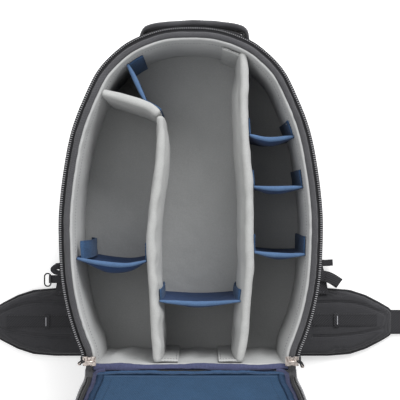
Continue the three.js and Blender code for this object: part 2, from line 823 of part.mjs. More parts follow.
function addLid() {
  const tray = [
    { inset: ZIP_REACH + 6, foot: 0, z: 0 },
    { inset: ZIP_REACH + 1, foot: 0, z: 3 },
    { inset: ZIP_REACH, foot: 0, z: 8 },
    { inset: ZIP_REACH, foot: 0, z: LID_DEPTH },
    { inset: ZIP_REACH + LID_WALL, foot: LID_WALL, z: LID_DEPTH },
    { inset: ZIP_REACH + LID_WALL, foot: LID_WALL, z: LID_FLOOR },
  ];
  add("lid_shell", "shell", bentLid(rimSlab(tray)));
  const bindingOut = ZIP_REACH + LID_WALL + GAP;
  const bindingIn = bindingOut + LID_BINDING;
  const binding = [
    { inset: bindingOut, z: LID_FLOOR + GAP },
    { inset: bindingOut, z: LID_DEPTH },
    { inset: bindingIn - 2, z: LID_DEPTH },
    { inset: bindingIn, z: LID_DEPTH - 2 },
    { inset: bindingIn, z: LID_FLOOR + GAP },
  ];
  add("lid_binding", "purple", bentLid(rimStrip(binding, LID_WALL + GAP)));
  const panel = { inset: bindingIn + GAP, foot: LID_WALL + GAP };
  const lining = [
    { ...panel, z: LID_FLOOR + GAP },
    { ...panel, z: LID_FLOOR + LID_PAD - 2 },
    { inset: panel.inset + 5, foot: panel.foot + 5, z: LID_FLOOR + LID_PAD },
  ];
  add("lid_lining", "lidBlue", bentLid(rimSlab(lining)));
  const chainTop = LID_DEPTH - ZIP_BELOW_RIM;
  const chain = [
    { inset: 0, z: chainTop - ZIP_HEIGHT },
    { inset: 0, z: chainTop },
    { inset: ZIP_REACH - GAP, z: chainTop },
    { inset: ZIP_REACH - GAP, z: chainTop - ZIP_HEIGHT },
  ];
  add("zip_chain_lid", "chain", bentLid(rimStrip(chain, ZIP_HEIGHT)));
  add("hinge_strip", "purple", hingeStrip());
}

// The strip covers the foot wall and its lining and laps onto the lid.
function hingeStrip() {
  const inner = BAG_FOOT + FOOT_IN;
  const drop = HINGE_LIP * Math.tan(SLOPE);
  const lidTop = RIM_Z + GAP / Math.cos(SLOPE);
  const lipEnd = HINGE_Y - HINGE_LIP;
  const profile = [
    [inner, WALL_TOP + GAP],
    [inner, RIM_Z - HINGE_CROWN],
    [inner - 1.5, RIM_Z + HINGE_CROWN * 0.6],
    [BAG_FOOT + 3, RIM_Z + HINGE_CROWN],
    [BAG_FOOT - 0.5, RIM_Z + HINGE_CROWN * 0.8],
    [lipEnd, lidTop - drop + 1.5],
    [lipEnd, lidTop - drop],
    [HINGE_Y, lidTop],
    [BAG_FOOT, lidTop],
    [BAG_FOOT, WALL_TOP + GAP],
  ];
  const half = sidePoint(footShare(ZIP_REACH, 0), ZIP_REACH).x;
  return prism(profile, "x", -half, half);
}

// Carry handle: a padded strap whose ends press on the wall.
function addHandle() {
  const points = HANDLE_STATIONS.map(({ across, out }) => ({
    x: HANDLE_OFF_CENTRE + (across * HANDLE_SPAN) / 2,
    y: BAG_TOP + out * HANDLE_REACH,
  }));
  const top = RIM_Z - HANDLE_BELOW_RIM;
  const bottom = top - HANDLE_WIDTH;
  const half = HANDLE_THICK / 2;
  const soft = half * 0.6;
  const section = [
    { n: -soft, z: bottom },
    { n: soft, z: bottom },
    { n: half, z: bottom + half },
    { n: half, z: top - half },
    { n: soft, z: top },
    { n: -soft, z: top },
    { n: -half, z: top - half },
    { n: -half, z: bottom + half },
  ];
  const strap = solidOf(sweep(smoothRoute(points, 20), () => section));
  const wall = solidOf(rimSlab(wallLevels(GAP)));
  add("carry_handle", "wing", geometryOf(largest(strap.subtract(wall))));
}

// A flat pad with rounded corners and soft edges, from one height to another.
function padBody(centreX, centreY, width, length, bottom, top) {
  const edge = Math.min(PAD_EDGE, (top - bottom) / 2);
  const levels = [
    { inset: edge, z: bottom },
    { inset: 0, z: bottom + edge },
    { inset: 0, z: top - edge },
    { inset: edge, z: top },
  ];
  const steps = 4;
  const loops = levels.map(({ inset, z }) => {
    const loop = [];
    for (let corner = 0; corner < 4; corner += 1) {
      const sideX = corner === 0 || corner === 3 ? 1 : -1;
      const sideY = corner < 2 ? 1 : -1;
      const x = centreX + sideX * (width / 2 - PAD_CORNER);
      const y = centreY + sideY * (length / 2 - PAD_CORNER);
      for (let i = 0; i <= steps; i += 1) {
        const angle = ((corner + i / steps) * Math.PI) / 2;
        const radius = PAD_CORNER - inset;
        loop.push(new THREE.Vector3(x + radius * Math.cos(angle), y + radius * Math.sin(angle), z));
      }
    }
    return loop;
  });
  const fan = [];
  for (let i = 1; i + 1 < loops[0].length; i += 1) {
    fan.push([0, i, i + 1]);
  }
  return skin(loops, fan);
}

// A padded strip's section with soft edges
function softSection(half, bottom, top) {
  const edge = (top - bottom) / 3;
  return [
    { n: -half + edge, z: bottom },
    { n: half - edge, z: bottom },
    { n: half, z: bottom + edge },
    { n: half, z: top - edge },
    { n: half - edge, z: top },
    { n: -half + edge, z: top },
    { n: -half, z: top - edge },
    { n: -half, z: bottom + edge },
  ];
}

// Harness: it lies under the back panel.
function addHarness() {
  const padX = (PAD_SPREAD + PAD_WIDTH) / 2;
  addPair("back_pad", "wing", padBody(padX, PAD_CENTRE, PAD_WIDTH, PAD_LENGTH, 0, HARNESS_TOP));
  add("lumbar_pad", "wing", padBody(0, -LUMBAR_BELOW, LUMBAR_WIDTH, LUMBAR_LENGTH, 0, HARNESS_TOP));
  const strapBottom = HARNESS_TOP - STRAP_THICK;
  const strapPoints = STRAP_STATIONS.map(({ across, up }) => ({
    x: (across * RIM_WIDTH) / 2,
    y: up * BAG_LENGTH,
  }));
  const strapSection = softSection(STRAP_WIDTH / 2, strapBottom, HARNESS_TOP);
  const strap = solidOf(sweep(smoothRoute(strapPoints, 11), () => strapSection));
  const inner = solidOf(block([0, BAG_FOOT, 0], [YOKE_HALF + GAP, BAG_TOP, HARNESS_DEPTH]));
  const below = solidOf(block([0, BAG_FOOT, 0], [RIM_WIDTH / 2, -STRAP_FOOT_BELOW, HARNESS_DEPTH]));
  addPair("shoulder_strap", "wing", geometryOf(strap.subtract(inner.add(below))));
  const yokeY = strapPoints[0].y;
  const yokeRoute = smoothRoute([{ x: -YOKE_HALF, y: yokeY }, { x: YOKE_HALF, y: yokeY }], 2);
  add("strap_yoke", "wing", sweep(yokeRoute, () => softSection(YOKE_WIDTH / 2, strapBottom, HARNESS_TOP)));

  const foot = { x: strapPoints.at(-1).x, y: -STRAP_FOOT_BELOW };
  const anchorY = -ANCHOR_BELOW;
  const anchorBottom = HARNESS_TOP - ANCHOR_THICK;
  addPair("ladder_lock", "plastic", ladderLock(foot.x, foot.y - GAP, anchorBottom + LOCK_THICK));
  const anchor = block(
    [ANCHOR_ROOT, anchorY - ANCHOR_WIDTH / 2, anchorBottom],
    [ANCHOR_REACH, anchorY + ANCHOR_WIDTH / 2, HARNESS_TOP],
  );
  addPair("anchor_tab", "webbing", anchor);

  // The webbing runs below the lock and the anchor tab and comes out at the bag's side.
  const webTop = anchorBottom - GAP;
  const webRoute = [
    { x: foot.x, y: foot.y - LOCK_LENGTH / 2 },
    { x: foot.x + 26, y: foot.y - LOCK_LENGTH - 8 },
    { x: ANCHOR_REACH - 12, y: anchorY + 24 },
    { x: ANCHOR_REACH + 8, y: anchorY + 24 },
  ];
  const webSection = flatSection(WEBBING_WIDTH / 2, webTop - WEBBING, WEBBING);
  addPair("strap_webbing", "webbing", sweep(smoothRoute(webRoute, 8), () => webSection));
  addTails(anchorY);
}

// A lock frame with two slots and a bar between them
function ladderLock(x, top, lockTop) {
  const half = LOCK_WIDTH / 2;
  const low = [x - half, top - LOCK_LENGTH, lockTop - LOCK_THICK];
  let frame = solidOf(block(low, [x + half, top, lockTop]));
  for (const middle of [0.28, 0.72]) {
    const y = top - LOCK_LENGTH * middle;
    const slot = block([x - half + 3, y - 2, low[2] - 1], [x + half - 3, y + 2, lockTop + 1]);
    frame = frame.subtract(solidOf(slot));
  }
  return geometryOf(frame);
}

// The tails on the anchor tabs: a slanted webbing end on the right, a loop with a ring on the left.
function addTails(anchorY) {
  const tailBottom = HARNESS_DEPTH;
  const tailSection = flatSection(WEBBING_WIDTH * 0.6, tailBottom, WEBBING);
  const tailRoute = [
    { x: ANCHOR_REACH - 22, y: anchorY + 6 },
    { x: ANCHOR_REACH, y: anchorY + 2 },
    { x: TAIL_REACH, y: anchorY - 8 },
  ];
  add("strap_tail_right", "webbing", sweep(smoothRoute(tailRoute, 4), () => tailSection));
  const ringX = TAIL_REACH - RING_WIDTH / 2;
  const ringY = anchorY - 2;
  const wireMiddle = tailBottom + WEBBING + GAP + RING_WIRE / 2;
  const ring = new THREE.TorusGeometry(RING_WIDTH / 2 - RING_WIRE / 2, RING_WIRE / 2, 6, 20);
  ring.scale(1, (RING_LENGTH - RING_WIRE) / (RING_WIDTH - RING_WIRE), 1);
  ring.translate(-ringX, ringY, wireMiddle);
  add("side_ring_left", "silver", merged(ring));
  const loopEnd = ringX - RING_WIDTH / 2 + RING_WIRE * 2;
  const loopRoute = smoothRoute([{ x: -loopEnd, y: ringY }, { x: -ANCHOR_REACH + 22, y: ringY }], 2);
  const loop = flatSection(WEBBING_WIDTH * 0.5, tailBottom, WEBBING);
  add("strap_tail_left", "webbing", sweep(loopRoute, () => loop));
}

// Hip belt: a padded wing on each side of the lumbar pad, with webbing and half a buckle at its end.
function addBelt() {
  const root = LUMBAR_WIDTH / 2 + GAP;
  const y = -WING_BELOW;
  const loops = WING_STATIONS.map(({ along, half }) => {
    const x = root + along * (WING_REACH - root);
    const section = softSection(half * WING_HALF, 0, WING_THICK);
    return section.map(({ n, z }) => new THREE.Vector3(x, y + n, z));
  });
  addPair("hip_wing", "wing", skin(loops, sectionCap(softSection(WING_HALF, 0, WING_THICK))));

  const bandBottom = WING_THICK + GAP;
  const bandHalf = BAND_WIDTH / 2;
  const bandY = y + BAND_WIDTH * 0.2;
  addPair(
    "wing_band",
    "webbing",
    block([BAND_ROOT, bandY - bandHalf, bandBottom], [BAND_REACH, bandY + bandHalf, bandBottom + WEBBING]),
  );
  const loopX = TAIL_REACH - LOOP_WIDTH;
  const loopBottom = bandBottom + WEBBING + GAP;
  addPair(
    "wing_loop",
    "webbing",
    block(
      [loopX, bandY - bandHalf - 1, loopBottom],
      [loopX + LOOP_WIDTH, bandY + bandHalf + 1, loopBottom + LOOP_THICK],
    ),
  );

  const beltBottom = WING_THICK / 2 - WEBBING / 2;
  const beltHalf = BELT_WIDTH / 2;
  const beltStart = WING_REACH + GAP;
  addPair(
    "belt_webbing",
    "webbing",
    block([beltStart, y - beltHalf, beltBottom], [BELT_REACH, y + beltHalf, beltBottom + WEBBING]),
  );
  addBuckles(y);
}

// The two halves of the belt's buckle, open: a socket on the left and a plug with two arms on the right.
function addBuckles(y) {
  const near = BELT_REACH + GAP;
  const far = near + BUCKLE_LENGTH;
  const half = BUCKLE_WIDTH / 2;
  const bar = near + BUCKLE_LENGTH * 0.3;
  const armIn = half * 0.45;
  const plug = [
    [near, y - half * 0.9],
    [bar, y - half],
    [bar + 2, y - half],
    [far - 6, y - half * 0.85],
    [far, y - armIn],
    [bar + 3, y - armIn],
    [bar + 3, y - 3],
    [far - 4, y - 2],
    [far - 4, y + 2],
    [bar + 3, y + 3],
    [bar + 3, y + armIn],
    [far, y + armIn],
    [far - 6, y + half * 0.85],
    [bar + 2, y + half],
    [bar, y + half],
    [near, y + half * 0.9],
  ];
  add("buckle_plug", "plastic", prism(plug, "z", 1, 1 + BUCKLE_THICK * 0.7));
  const socket = [
    [near, y - half * 0.9],
    [bar, y - half],
    [far - 2, y - half],
    [far, y - half * 0.8],
    [far, y + half * 0.8],
    [far - 2, y + half],
    [bar, y + half],
    [near, y + half * 0.9],
  ];
  const shell = solidOf(prism(socket, "z", 0.4, 0.4 + BUCKLE_THICK));
  const mouth = block([bar + 3, y - half * 0.85, 2.4], [far + 1, y + half * 0.85, BUCKLE_THICK - 1.6]);
  add("buckle_socket", "plastic", mirrored(geometryOf(shell.subtract(solidOf(mouth)))));
}

addBody();
addZip();
addDividers();
addLid();
addHandle();
addHarness();
addBelt();

// The frame's origin lies below the middle of the whole bag's box.
const whole = new THREE.Box3().setFromObject(bag);
bag.position.x = -(whole.min.x + whole.max.x) / 2;
bag.position.y = -(whole.min.y + whole.max.y) / 2;
bag.updateMatrixWorld(true);

export default bag;
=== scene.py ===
"""A camera backpack, open and lying on its back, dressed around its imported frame."""
import logging
import math
from dataclasses import dataclass
from enum import Enum
from typing import Callable, Iterable, Optional, Sequence

import bmesh
import bpy
import numpy as np
from mathutils import Matrix, Vector


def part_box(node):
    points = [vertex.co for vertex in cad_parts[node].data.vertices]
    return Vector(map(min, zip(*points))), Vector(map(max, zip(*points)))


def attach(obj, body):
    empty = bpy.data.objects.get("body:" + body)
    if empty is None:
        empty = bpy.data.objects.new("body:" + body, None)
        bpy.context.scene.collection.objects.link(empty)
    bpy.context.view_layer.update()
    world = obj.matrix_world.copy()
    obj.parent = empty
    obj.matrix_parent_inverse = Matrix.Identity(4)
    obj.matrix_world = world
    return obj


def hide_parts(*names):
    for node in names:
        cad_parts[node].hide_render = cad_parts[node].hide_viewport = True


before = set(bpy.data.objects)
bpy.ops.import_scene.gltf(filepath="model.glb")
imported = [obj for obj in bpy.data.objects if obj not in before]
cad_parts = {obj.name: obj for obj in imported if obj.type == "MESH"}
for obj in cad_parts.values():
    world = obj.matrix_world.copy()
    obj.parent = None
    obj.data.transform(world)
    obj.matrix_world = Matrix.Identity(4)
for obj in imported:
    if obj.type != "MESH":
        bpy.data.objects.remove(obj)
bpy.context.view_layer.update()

LOG = logging.getLogger("camera_backpack")
Piece = bpy.types.Object
Array = np.ndarray
norm = np.linalg.norm
Place = Callable[[Array], Array]

# Sizes that the frame's source names, in millimetres: X across the bag, Y from its middle to its top.
MM = 0.001
HALF_WIDTH = 180.0
BAG_LENGTH = 472.0
BAG_FOOT = -BAG_LENGTH / 2
BAG_TOP = BAG_LENGTH / 2
RIM_Z = 192.0
PANEL_TOP = 30.0
WALL_FOOT = 30.3
WALL_TOP = 187.7
FLOOR_TOP = 33.3
ZIP_REACH = 5.0
WALL_IN = 13.0
LINING_OUT = 13.3
LINING_IN = 18.8
FOOT_LINING_OUT = 5.3
FOOT_IN = 8.3
RIM_FOOT = 8.6
GREY_TOP = 188.0
BLUE_TOP = 180.0
GREY_HALF = 6.0
TAB_LENGTH = 25.0
ANCHOR_Y = -122.0
WING_Y = -190.5
SHIFT_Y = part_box("zip_chain_body")[1].y / MM - BAG_TOP

RIM_STATIONS = (
    (-0.05, 0.79), (0, 0.812), (0.049, 0.83), (0.097, 0.878), (0.171, 0.937), (0.261, 0.981),
    (0.38, 1), (0.463, 0.998), (0.596, 0.958), (0.703, 0.9), (0.798, 0.805), (0.876, 0.7),
    (0.933, 0.556), (0.963, 0.44), (0.993, 0.22), (1, 0),
)


# ---- places and curves


def row_place(points: Array) -> Array:
    """Turns bag places in millimetres into the frame's metres."""
    moved = np.array(points, float)
    moved[..., 1] += SHIFT_Y
    return moved * MM


def bag_place(points: Array) -> Array:
    """Turns the frame's metres into bag places in millimetres."""
    moved = np.array(points, float) / MM
    moved[..., 1] -= SHIFT_Y
    return moved


def unit(vectors: Array) -> Array:
    """Gives vectors the length of one."""
    return vectors / np.maximum(norm(vectors, axis=-1, keepdims=True), 1e-9)


def ramp(values: Array, start: float, end: float) -> Array:
    """Goes from 0 at start to 1 at end, and stays there."""
    return np.clip((values - start) / (end - start), 0, 1)


def resample(line: Array, count: int) -> Array:
    """Spaces points evenly along a line.

    Args:
        line: The line's points, one row each.
        count: How many steps the result has.

    Returns:
        count + 1 points.
    """
    step = norm(np.diff(line, axis=0), axis=1)
    length = np.concatenate([[0], np.cumsum(step)])
    at = np.linspace(0, length[-1], count + 1)
    return np.stack([np.interp(at, length, line[:, k]) for k in range(line.shape[1])], axis=1)


def smooth_route(points: Sequence[Sequence[float]], count: int) -> Array:
    """Draws the centripetal curve that the frame's source draws through its points.

    Args:
        points: Two or three numbers for each point.
        count: How many even steps the curve gets.

    Returns:
        count + 1 points with three numbers each.
    """
    given = np.array([(*point, 0.0)[:3] for point in points], float)
    ends = np.vstack([2 * given[0] - given[1], given, 2 * given[-1] - given[-2]])
    dense = []
    for i in range(len(given) - 1):
        p0, p1, p2, p3 = ends[i : i + 4]
        d0, d1, d2 = (max(np.sum((b - a) ** 2) ** 0.25, 1e-4) for a, b in ((p0, p1), (p1, p2), (p2, p3)))
        m1 = ((p1 - p0) / d0 - (p2 - p0) / (d0 + d1) + (p2 - p1) / d1) * d1
        m2 = ((p2 - p1) / d1 - (p3 - p1) / (d1 + d2) + (p3 - p2) / d2) * d1
        for w in np.arange(24) / 24:
            dense.append(
                p1 + m1 * w + (-3 * p1 + 3 * p2 - 2 * m1 - m2) * w**2 + (2 * p1 - 2 * p2 + m1 + m2) * w**3
            )
    dense.append(given[-1])
    return resample(np.array(dense), count)


class Rim:
    """The bag's outline seen from above."""

    def __init__(self) -> None:
        """Draws the right side of the outline from below the foot to the top."""
        points = [(out * HALF_WIDTH, BAG_FOOT + up * BAG_LENGTH) for up, out in RIM_STATIONS]
        points.append((-points[-2][0], points[-2][1]))
        line = smooth_route(points, 1600)[:, :2]
        top = int(np.argmax(line[:, 1]))
        self.line = line[: top + 1].copy()
        self.line[-1, 0] = 0.0
        self.along = unit(np.gradient(self.line, axis=0))
        self.along[-1] = (-1.0, 0.0)

    def side(self, inset: float, foot: float, count: int) -> Array:
        """Gives the right side from a line above the foot to the top, moved in by inset."""
        moved = self.line + inset * np.stack([-self.along[:, 1], self.along[:, 0]], axis=1)
        level = BAG_FOOT + foot
        first = int(np.argmax(moved[:, 1] > level))
        a, b = moved[first - 1], moved[first]
        start = a + (b - a) * (level - a[1]) / (b[1] - a[1])
        return resample(np.vstack([start, moved[first:]]), count)

    def strip(self, inset: float, foot: float, count: int) -> Array:
        """Gives the right side up and the left side down."""
        right = self.side(inset, foot, count)
        return np.vstack([right, right[-2::-1] * (-1, 1)])

    def loop(self, inset: float, foot: float, count: int, across: int) -> Array:
        """Gives the strip and the points across the foot that close it."""
        strip = self.strip(inset, foot, count)
        share = (np.arange(1, across) / across)[:, None]
        return np.vstack([strip, strip[-1] + (strip[0] - strip[-1]) * share])


RIM = Rim()


def raised(line: Array, z: float) -> Array:
    """Gives a level line a height."""
    return np.column_stack([line[:, :2], np.full(len(line), z)])


def ripple(points: Array, length: float, seed: int, ways: Optional[Array] = None) -> Array:
    """Gives a smooth wandering value from about -1 to 1 at each point.

    Args:
        points: Places in millimetres.
        length: The typical length of a wave.
        seed: Picks the waves.
        ways: Stretches the waves along X, Y and Z.

    Returns:
        One number for each point.
    """
    rng = np.random.default_rng(seed)
    turn = unit(rng.normal(size=(9, 3))) * (1 if ways is None else np.asarray(ways))
    pace = 2 * math.pi / (length * rng.uniform(0.6, 1.5, 9))
    phase = rng.uniform(0, 2 * math.pi, 9)
    return np.sin(points @ (turn * pace[:, None]).T + phase).sum(axis=1) / 4.5


# ---- meshes


def make_piece(
    name: str,
    corners: Array,
    faces: list,
    uvs: Optional[list] = None,
    place: Place = row_place,
    crease: float = 50,
) -> Piece:
    """Makes a smooth piece from corners in millimetres.

    Args:
        name: The piece's name.
        corners: Its corners.
        faces: Its faces, as tuples of corner numbers.
        uvs: One pair of metres for each corner of each face.
        place: Puts the corners into the frame.
        crease: The angle in degrees from which an edge stays sharp.

    Returns:
        The piece, closed and with its faces pointing out.
    """
    mesh = bpy.data.meshes.new(name)
    mesh.from_pydata(place(corners).tolist(), [], faces)
    if uvs is not None:
        layer = mesh.uv_layers.new(name="Threads")
        layer.data.foreach_set("uv", np.array(uvs, np.float32).ravel())
    piece = bpy.data.objects.new(name, mesh)
    bpy.context.scene.collection.objects.link(piece)
    work = bmesh.new()
    work.from_mesh(mesh)
    bmesh.ops.remove_doubles(work, verts=work.verts, dist=2e-6)
    bmesh.ops.recalc_face_normals(work, faces=work.faces)
    work.to_mesh(mesh)
    work.free()
    smooth(piece, crease)
    return piece


def smooth(piece: Piece, crease: float = 50) -> Piece:
    """Shades a piece smooth, keeps its sharper edges and gives it back."""
    piece.data.shade_smooth()
    piece.data.set_sharp_from_angle(angle=math.radians(crease))
    return piece


def skin(
    name: str,
    rows: Array,
    closed: bool = False,
    place: Place = row_place,
    crease: float = 50,
) -> Piece:
    """Joins rings of points, one after the other.

    Args:
        name: The piece's name.
        rows: The rings, with the shape (rings, points, 3).
        closed: Whether the last ring joins the first. If not, both ends get a face.
        place: Puts the corners into the frame.
        crease: The angle in degrees from which an edge stays sharp.

    Returns:
        The piece, with a UV map in metres along and around it.
    """
    rows = np.asarray(rows, float)
    count, around = rows.shape[:2]
    along = norm(np.roll(rows, -1, 0) - rows, axis=2).mean(axis=1)
    across = norm(np.roll(rows, -1, 1) - rows, axis=2).mean(axis=0)
    u = np.concatenate([[0], np.cumsum(along)]) * MM
    v = np.concatenate([[0], np.cumsum(across)]) * MM
    faces, uvs = [], []
    for i in range(count if closed else count - 1):
        here, there = i * around, ((i + 1) % count) * around
        for j in range(around):
            k = (j + 1) % around
            faces.append((here + j, here + k, there + k, there + j))
            uvs += [(u[i], v[j]), (u[i], v[j + 1]), (u[i + 1], v[j + 1]), (u[i + 1], v[j])]
    if not closed:
        last = (count - 1) * around
        faces.append(tuple(range(around - 1, -1, -1)))
        faces.append(tuple(range(last, last + around)))
        uvs += [(0, v[j]) for j in range(around - 1, -1, -1)]
        uvs += [(u[count - 1], v[j]) for j in range(around)]
    return make_piece(name, rows.reshape(-1, 3), faces, uvs, place, crease)


def sweep_rows(path: Array, section: Array, closed: bool = False, up: Sequence = (0, 0, 1)) -> Array:
    """Sets a section along a path.

    Args:
        path: The path's points.
        section: Pairs of (sideways, up), the same for all points or one set for each.
        closed: Whether the path is a loop.
        up: Which way is up, the same for all points or one for each.

    Returns:
        The rings for skin.
    """
    path = np.asarray(path, float)
    if closed:
        along = unit(np.roll(path, -1, 0) - np.roll(path, 1, 0))
    else:
        along = unit(np.gradient(path, axis=0))
    side = unit(np.cross(np.broadcast_to(np.asarray(up, float), path.shape), along))
    lift = np.cross(along, side)
    section = np.asarray(section, float)
    if section.ndim == 2:
        section = np.broadcast_to(section, (len(path), *section.shape))
    return path[:, None] + side[:, None] * section[..., :1] + lift[:, None] * section[..., 1:]


def oval(width: float, height: float, power: float = 2.0, count: int = 12, lift: float = 0.0) -> Array:
    """Draws a section from round, at a power of 2, to nearly square."""
    angle = np.arange(count) / count * 2 * math.pi
    c, s = np.cos(angle), np.sin(angle)
    n = np.sign(c) * np.abs(c) ** (2 / power) * width / 2
    z = np.sign(s) * np.abs(s) ** (2 / power) * height / 2
    return np.stack([n, z + lift], axis=1)


def rim_rows(section: Iterable[tuple], count: int, across: int) -> Array:
    """Sets a section of (inset, foot, z) all around the bag."""
    loops = [raised(RIM.loop(inset, foot, count, across), z) for inset, foot, z in section]
    return np.stack(loops, axis=1)


def strip_rows(section: Iterable[tuple], foot: float, count: int) -> Array:
    """Sets a section of (inset, z) around the sides and the top."""
    return np.stack([raised(RIM.strip(inset, foot, count), z) for inset, z in section], axis=1)


def slab(
    name: str,
    levels: Sequence[tuple],
    crowns: tuple = (None, None),
    count: int = 60,
    across: int = 28,
    place: Place = row_place,
    crease: float = 50,
) -> Piece:
    """Makes a slab or tray with the bag's outline whose two faces have corners all over.

    Args:
        name: The piece's name.
        levels: Loops of (inset, foot, z), from one face to the other.
        crowns: What each face adds to z at its inner points.
        count: Rows from the foot to the top.
        across: Points from side to side.
        place: Puts the corners into the frame.
        crease: The angle in degrees from which an edge stays sharp.

    Returns:
        The piece.
    """
    loops = [raised(RIM.loop(inset, foot, count, across), z) for inset, foot, z in levels]
    around = len(loops[0])
    corners = [point for loop in loops for point in loop]
    faces, uvs = [], []
    step = norm(np.roll(loops[0], -1, 0) - loops[0], axis=1)
    u = np.concatenate([[0], np.cumsum(step)]) * MM
    rise = 0.0
    for k in range(len(loops) - 1):
        next_rise = rise + float(norm(loops[k + 1] - loops[k], axis=1).mean()) * MM
        for j in range(around):
            m = (j + 1) % around
            faces.append((k * around + j, k * around + m, (k + 1) * around + m, (k + 1) * around + j))
            uvs += [(u[j], rise), (u[j + 1], rise), (u[j + 1], next_rise), (u[j], next_rise)]
        rise = next_rise
    for end, crown in zip((0, len(loops) - 1), crowns):
        base = end * around
        rows = [[base + 2 * count, *range(base + 2 * count + 1, base + around), base]]
        for i in range(1, count):
            right, left = loops[end][i], loops[end][2 * count - i]
            row = [base + 2 * count - i]
            for share in np.arange(1, across) / across:
                point = left + (right - left) * share
                if crown is not None:
                    point = point + (0, 0, crown(point[0], point[1]))
                row.append(len(corners))
                corners.append(point)
            rows.append([*row, base + i])
        for low, high in zip(rows, rows[1:]):
            for j in range(across):
                faces.append((low[j], low[j + 1], high[j + 1], high[j]))
        for j in range(across):
            faces.append((rows[-1][j], rows[-1][j + 1], base + count))
    for face in faces[len(uvs) // 4 :]:
        uvs += [tuple(np.asarray(corners[c][:2]) * MM) for c in face]
    return make_piece(name, np.array(corners), faces, uvs, place, crease)


def move_corners(piece: Piece, change: Callable[[Array, Array], Array]) -> None:
    """Moves a piece's corners.

    Args:
        piece: The piece.
        change: Takes the corners in bag millimetres and their normals, and gives new corners.
    """
    count = len(piece.data.vertices)
    corners, normals = np.zeros(count * 3), np.zeros(count * 3)
    piece.data.vertices.foreach_get("co", corners)
    piece.data.vertices.foreach_get("normal", normals)
    moved = change(bag_place(corners.reshape(-1, 3)), normals.reshape(-1, 3))
    piece.data.vertices.foreach_set("co", row_place(moved).ravel())
    piece.data.update()


def soften(
    piece: Piece,
    length: float,
    strength: float,
    seed: int,
    weight: Optional[Callable[[Array], Array]] = None,
    ways: Optional[tuple] = None,
) -> None:
    """Lets a surface swell and sink a little, as cloth does.

    Args:
        piece: The piece.
        length: The typical length of a fold.
        strength: How far it moves, in millimetres.
        seed: Picks the folds.
        weight: Gives each corner's share of the move.
        ways: Stretches the folds along X, Y and Z.
    """

    def change(corners: Array, normals: Array) -> Array:
        amount = ripple(corners, length, seed, ways) * strength
        if weight is not None:
            amount = amount * weight(corners)
        return corners + normals * amount[:, None]

    move_corners(piece, change)


def groove(piece: Piece, path: Array, width: float, depth: float, middle: float) -> None:
    """Presses a sewn channel into a flat pad along a path in plan.

    Args:
        piece: The pad.
        path: The channel's points.
        width: Half the channel's width.
        depth: How deep it is.
        middle: The height that it is pressed towards.
    """
    line = resample(np.asarray(path, float)[:, :2], 80)

    def change(corners: Array, normals: Array) -> Array:
        gap = np.min(norm(corners[:, None, :2] - line[None], axis=2), axis=1)
        press = depth * np.exp(-((gap / width) ** 2)) * np.abs(normals[:, 2])
        moved = corners.copy()
        moved[:, 2] -= np.sign(corners[:, 2] - middle) * press
        return moved

    move_corners(piece, change)


def choose(piece: Piece) -> None:
    """Makes a piece the only one that is selected, and the active one."""
    bpy.ops.object.select_all(action="DESELECT")
    piece.select_set(True)
    bpy.context.view_layer.objects.active = piece


def finer(piece: Piece, levels: int = 1) -> None:
    """Adds a subdivision surface to a piece and applies it."""
    choose(piece)
    modifier = piece.modifiers.new("Finer", "SUBSURF")
    modifier.levels = modifier.render_levels = levels
    bpy.ops.object.modifier_apply(modifier=modifier.name)


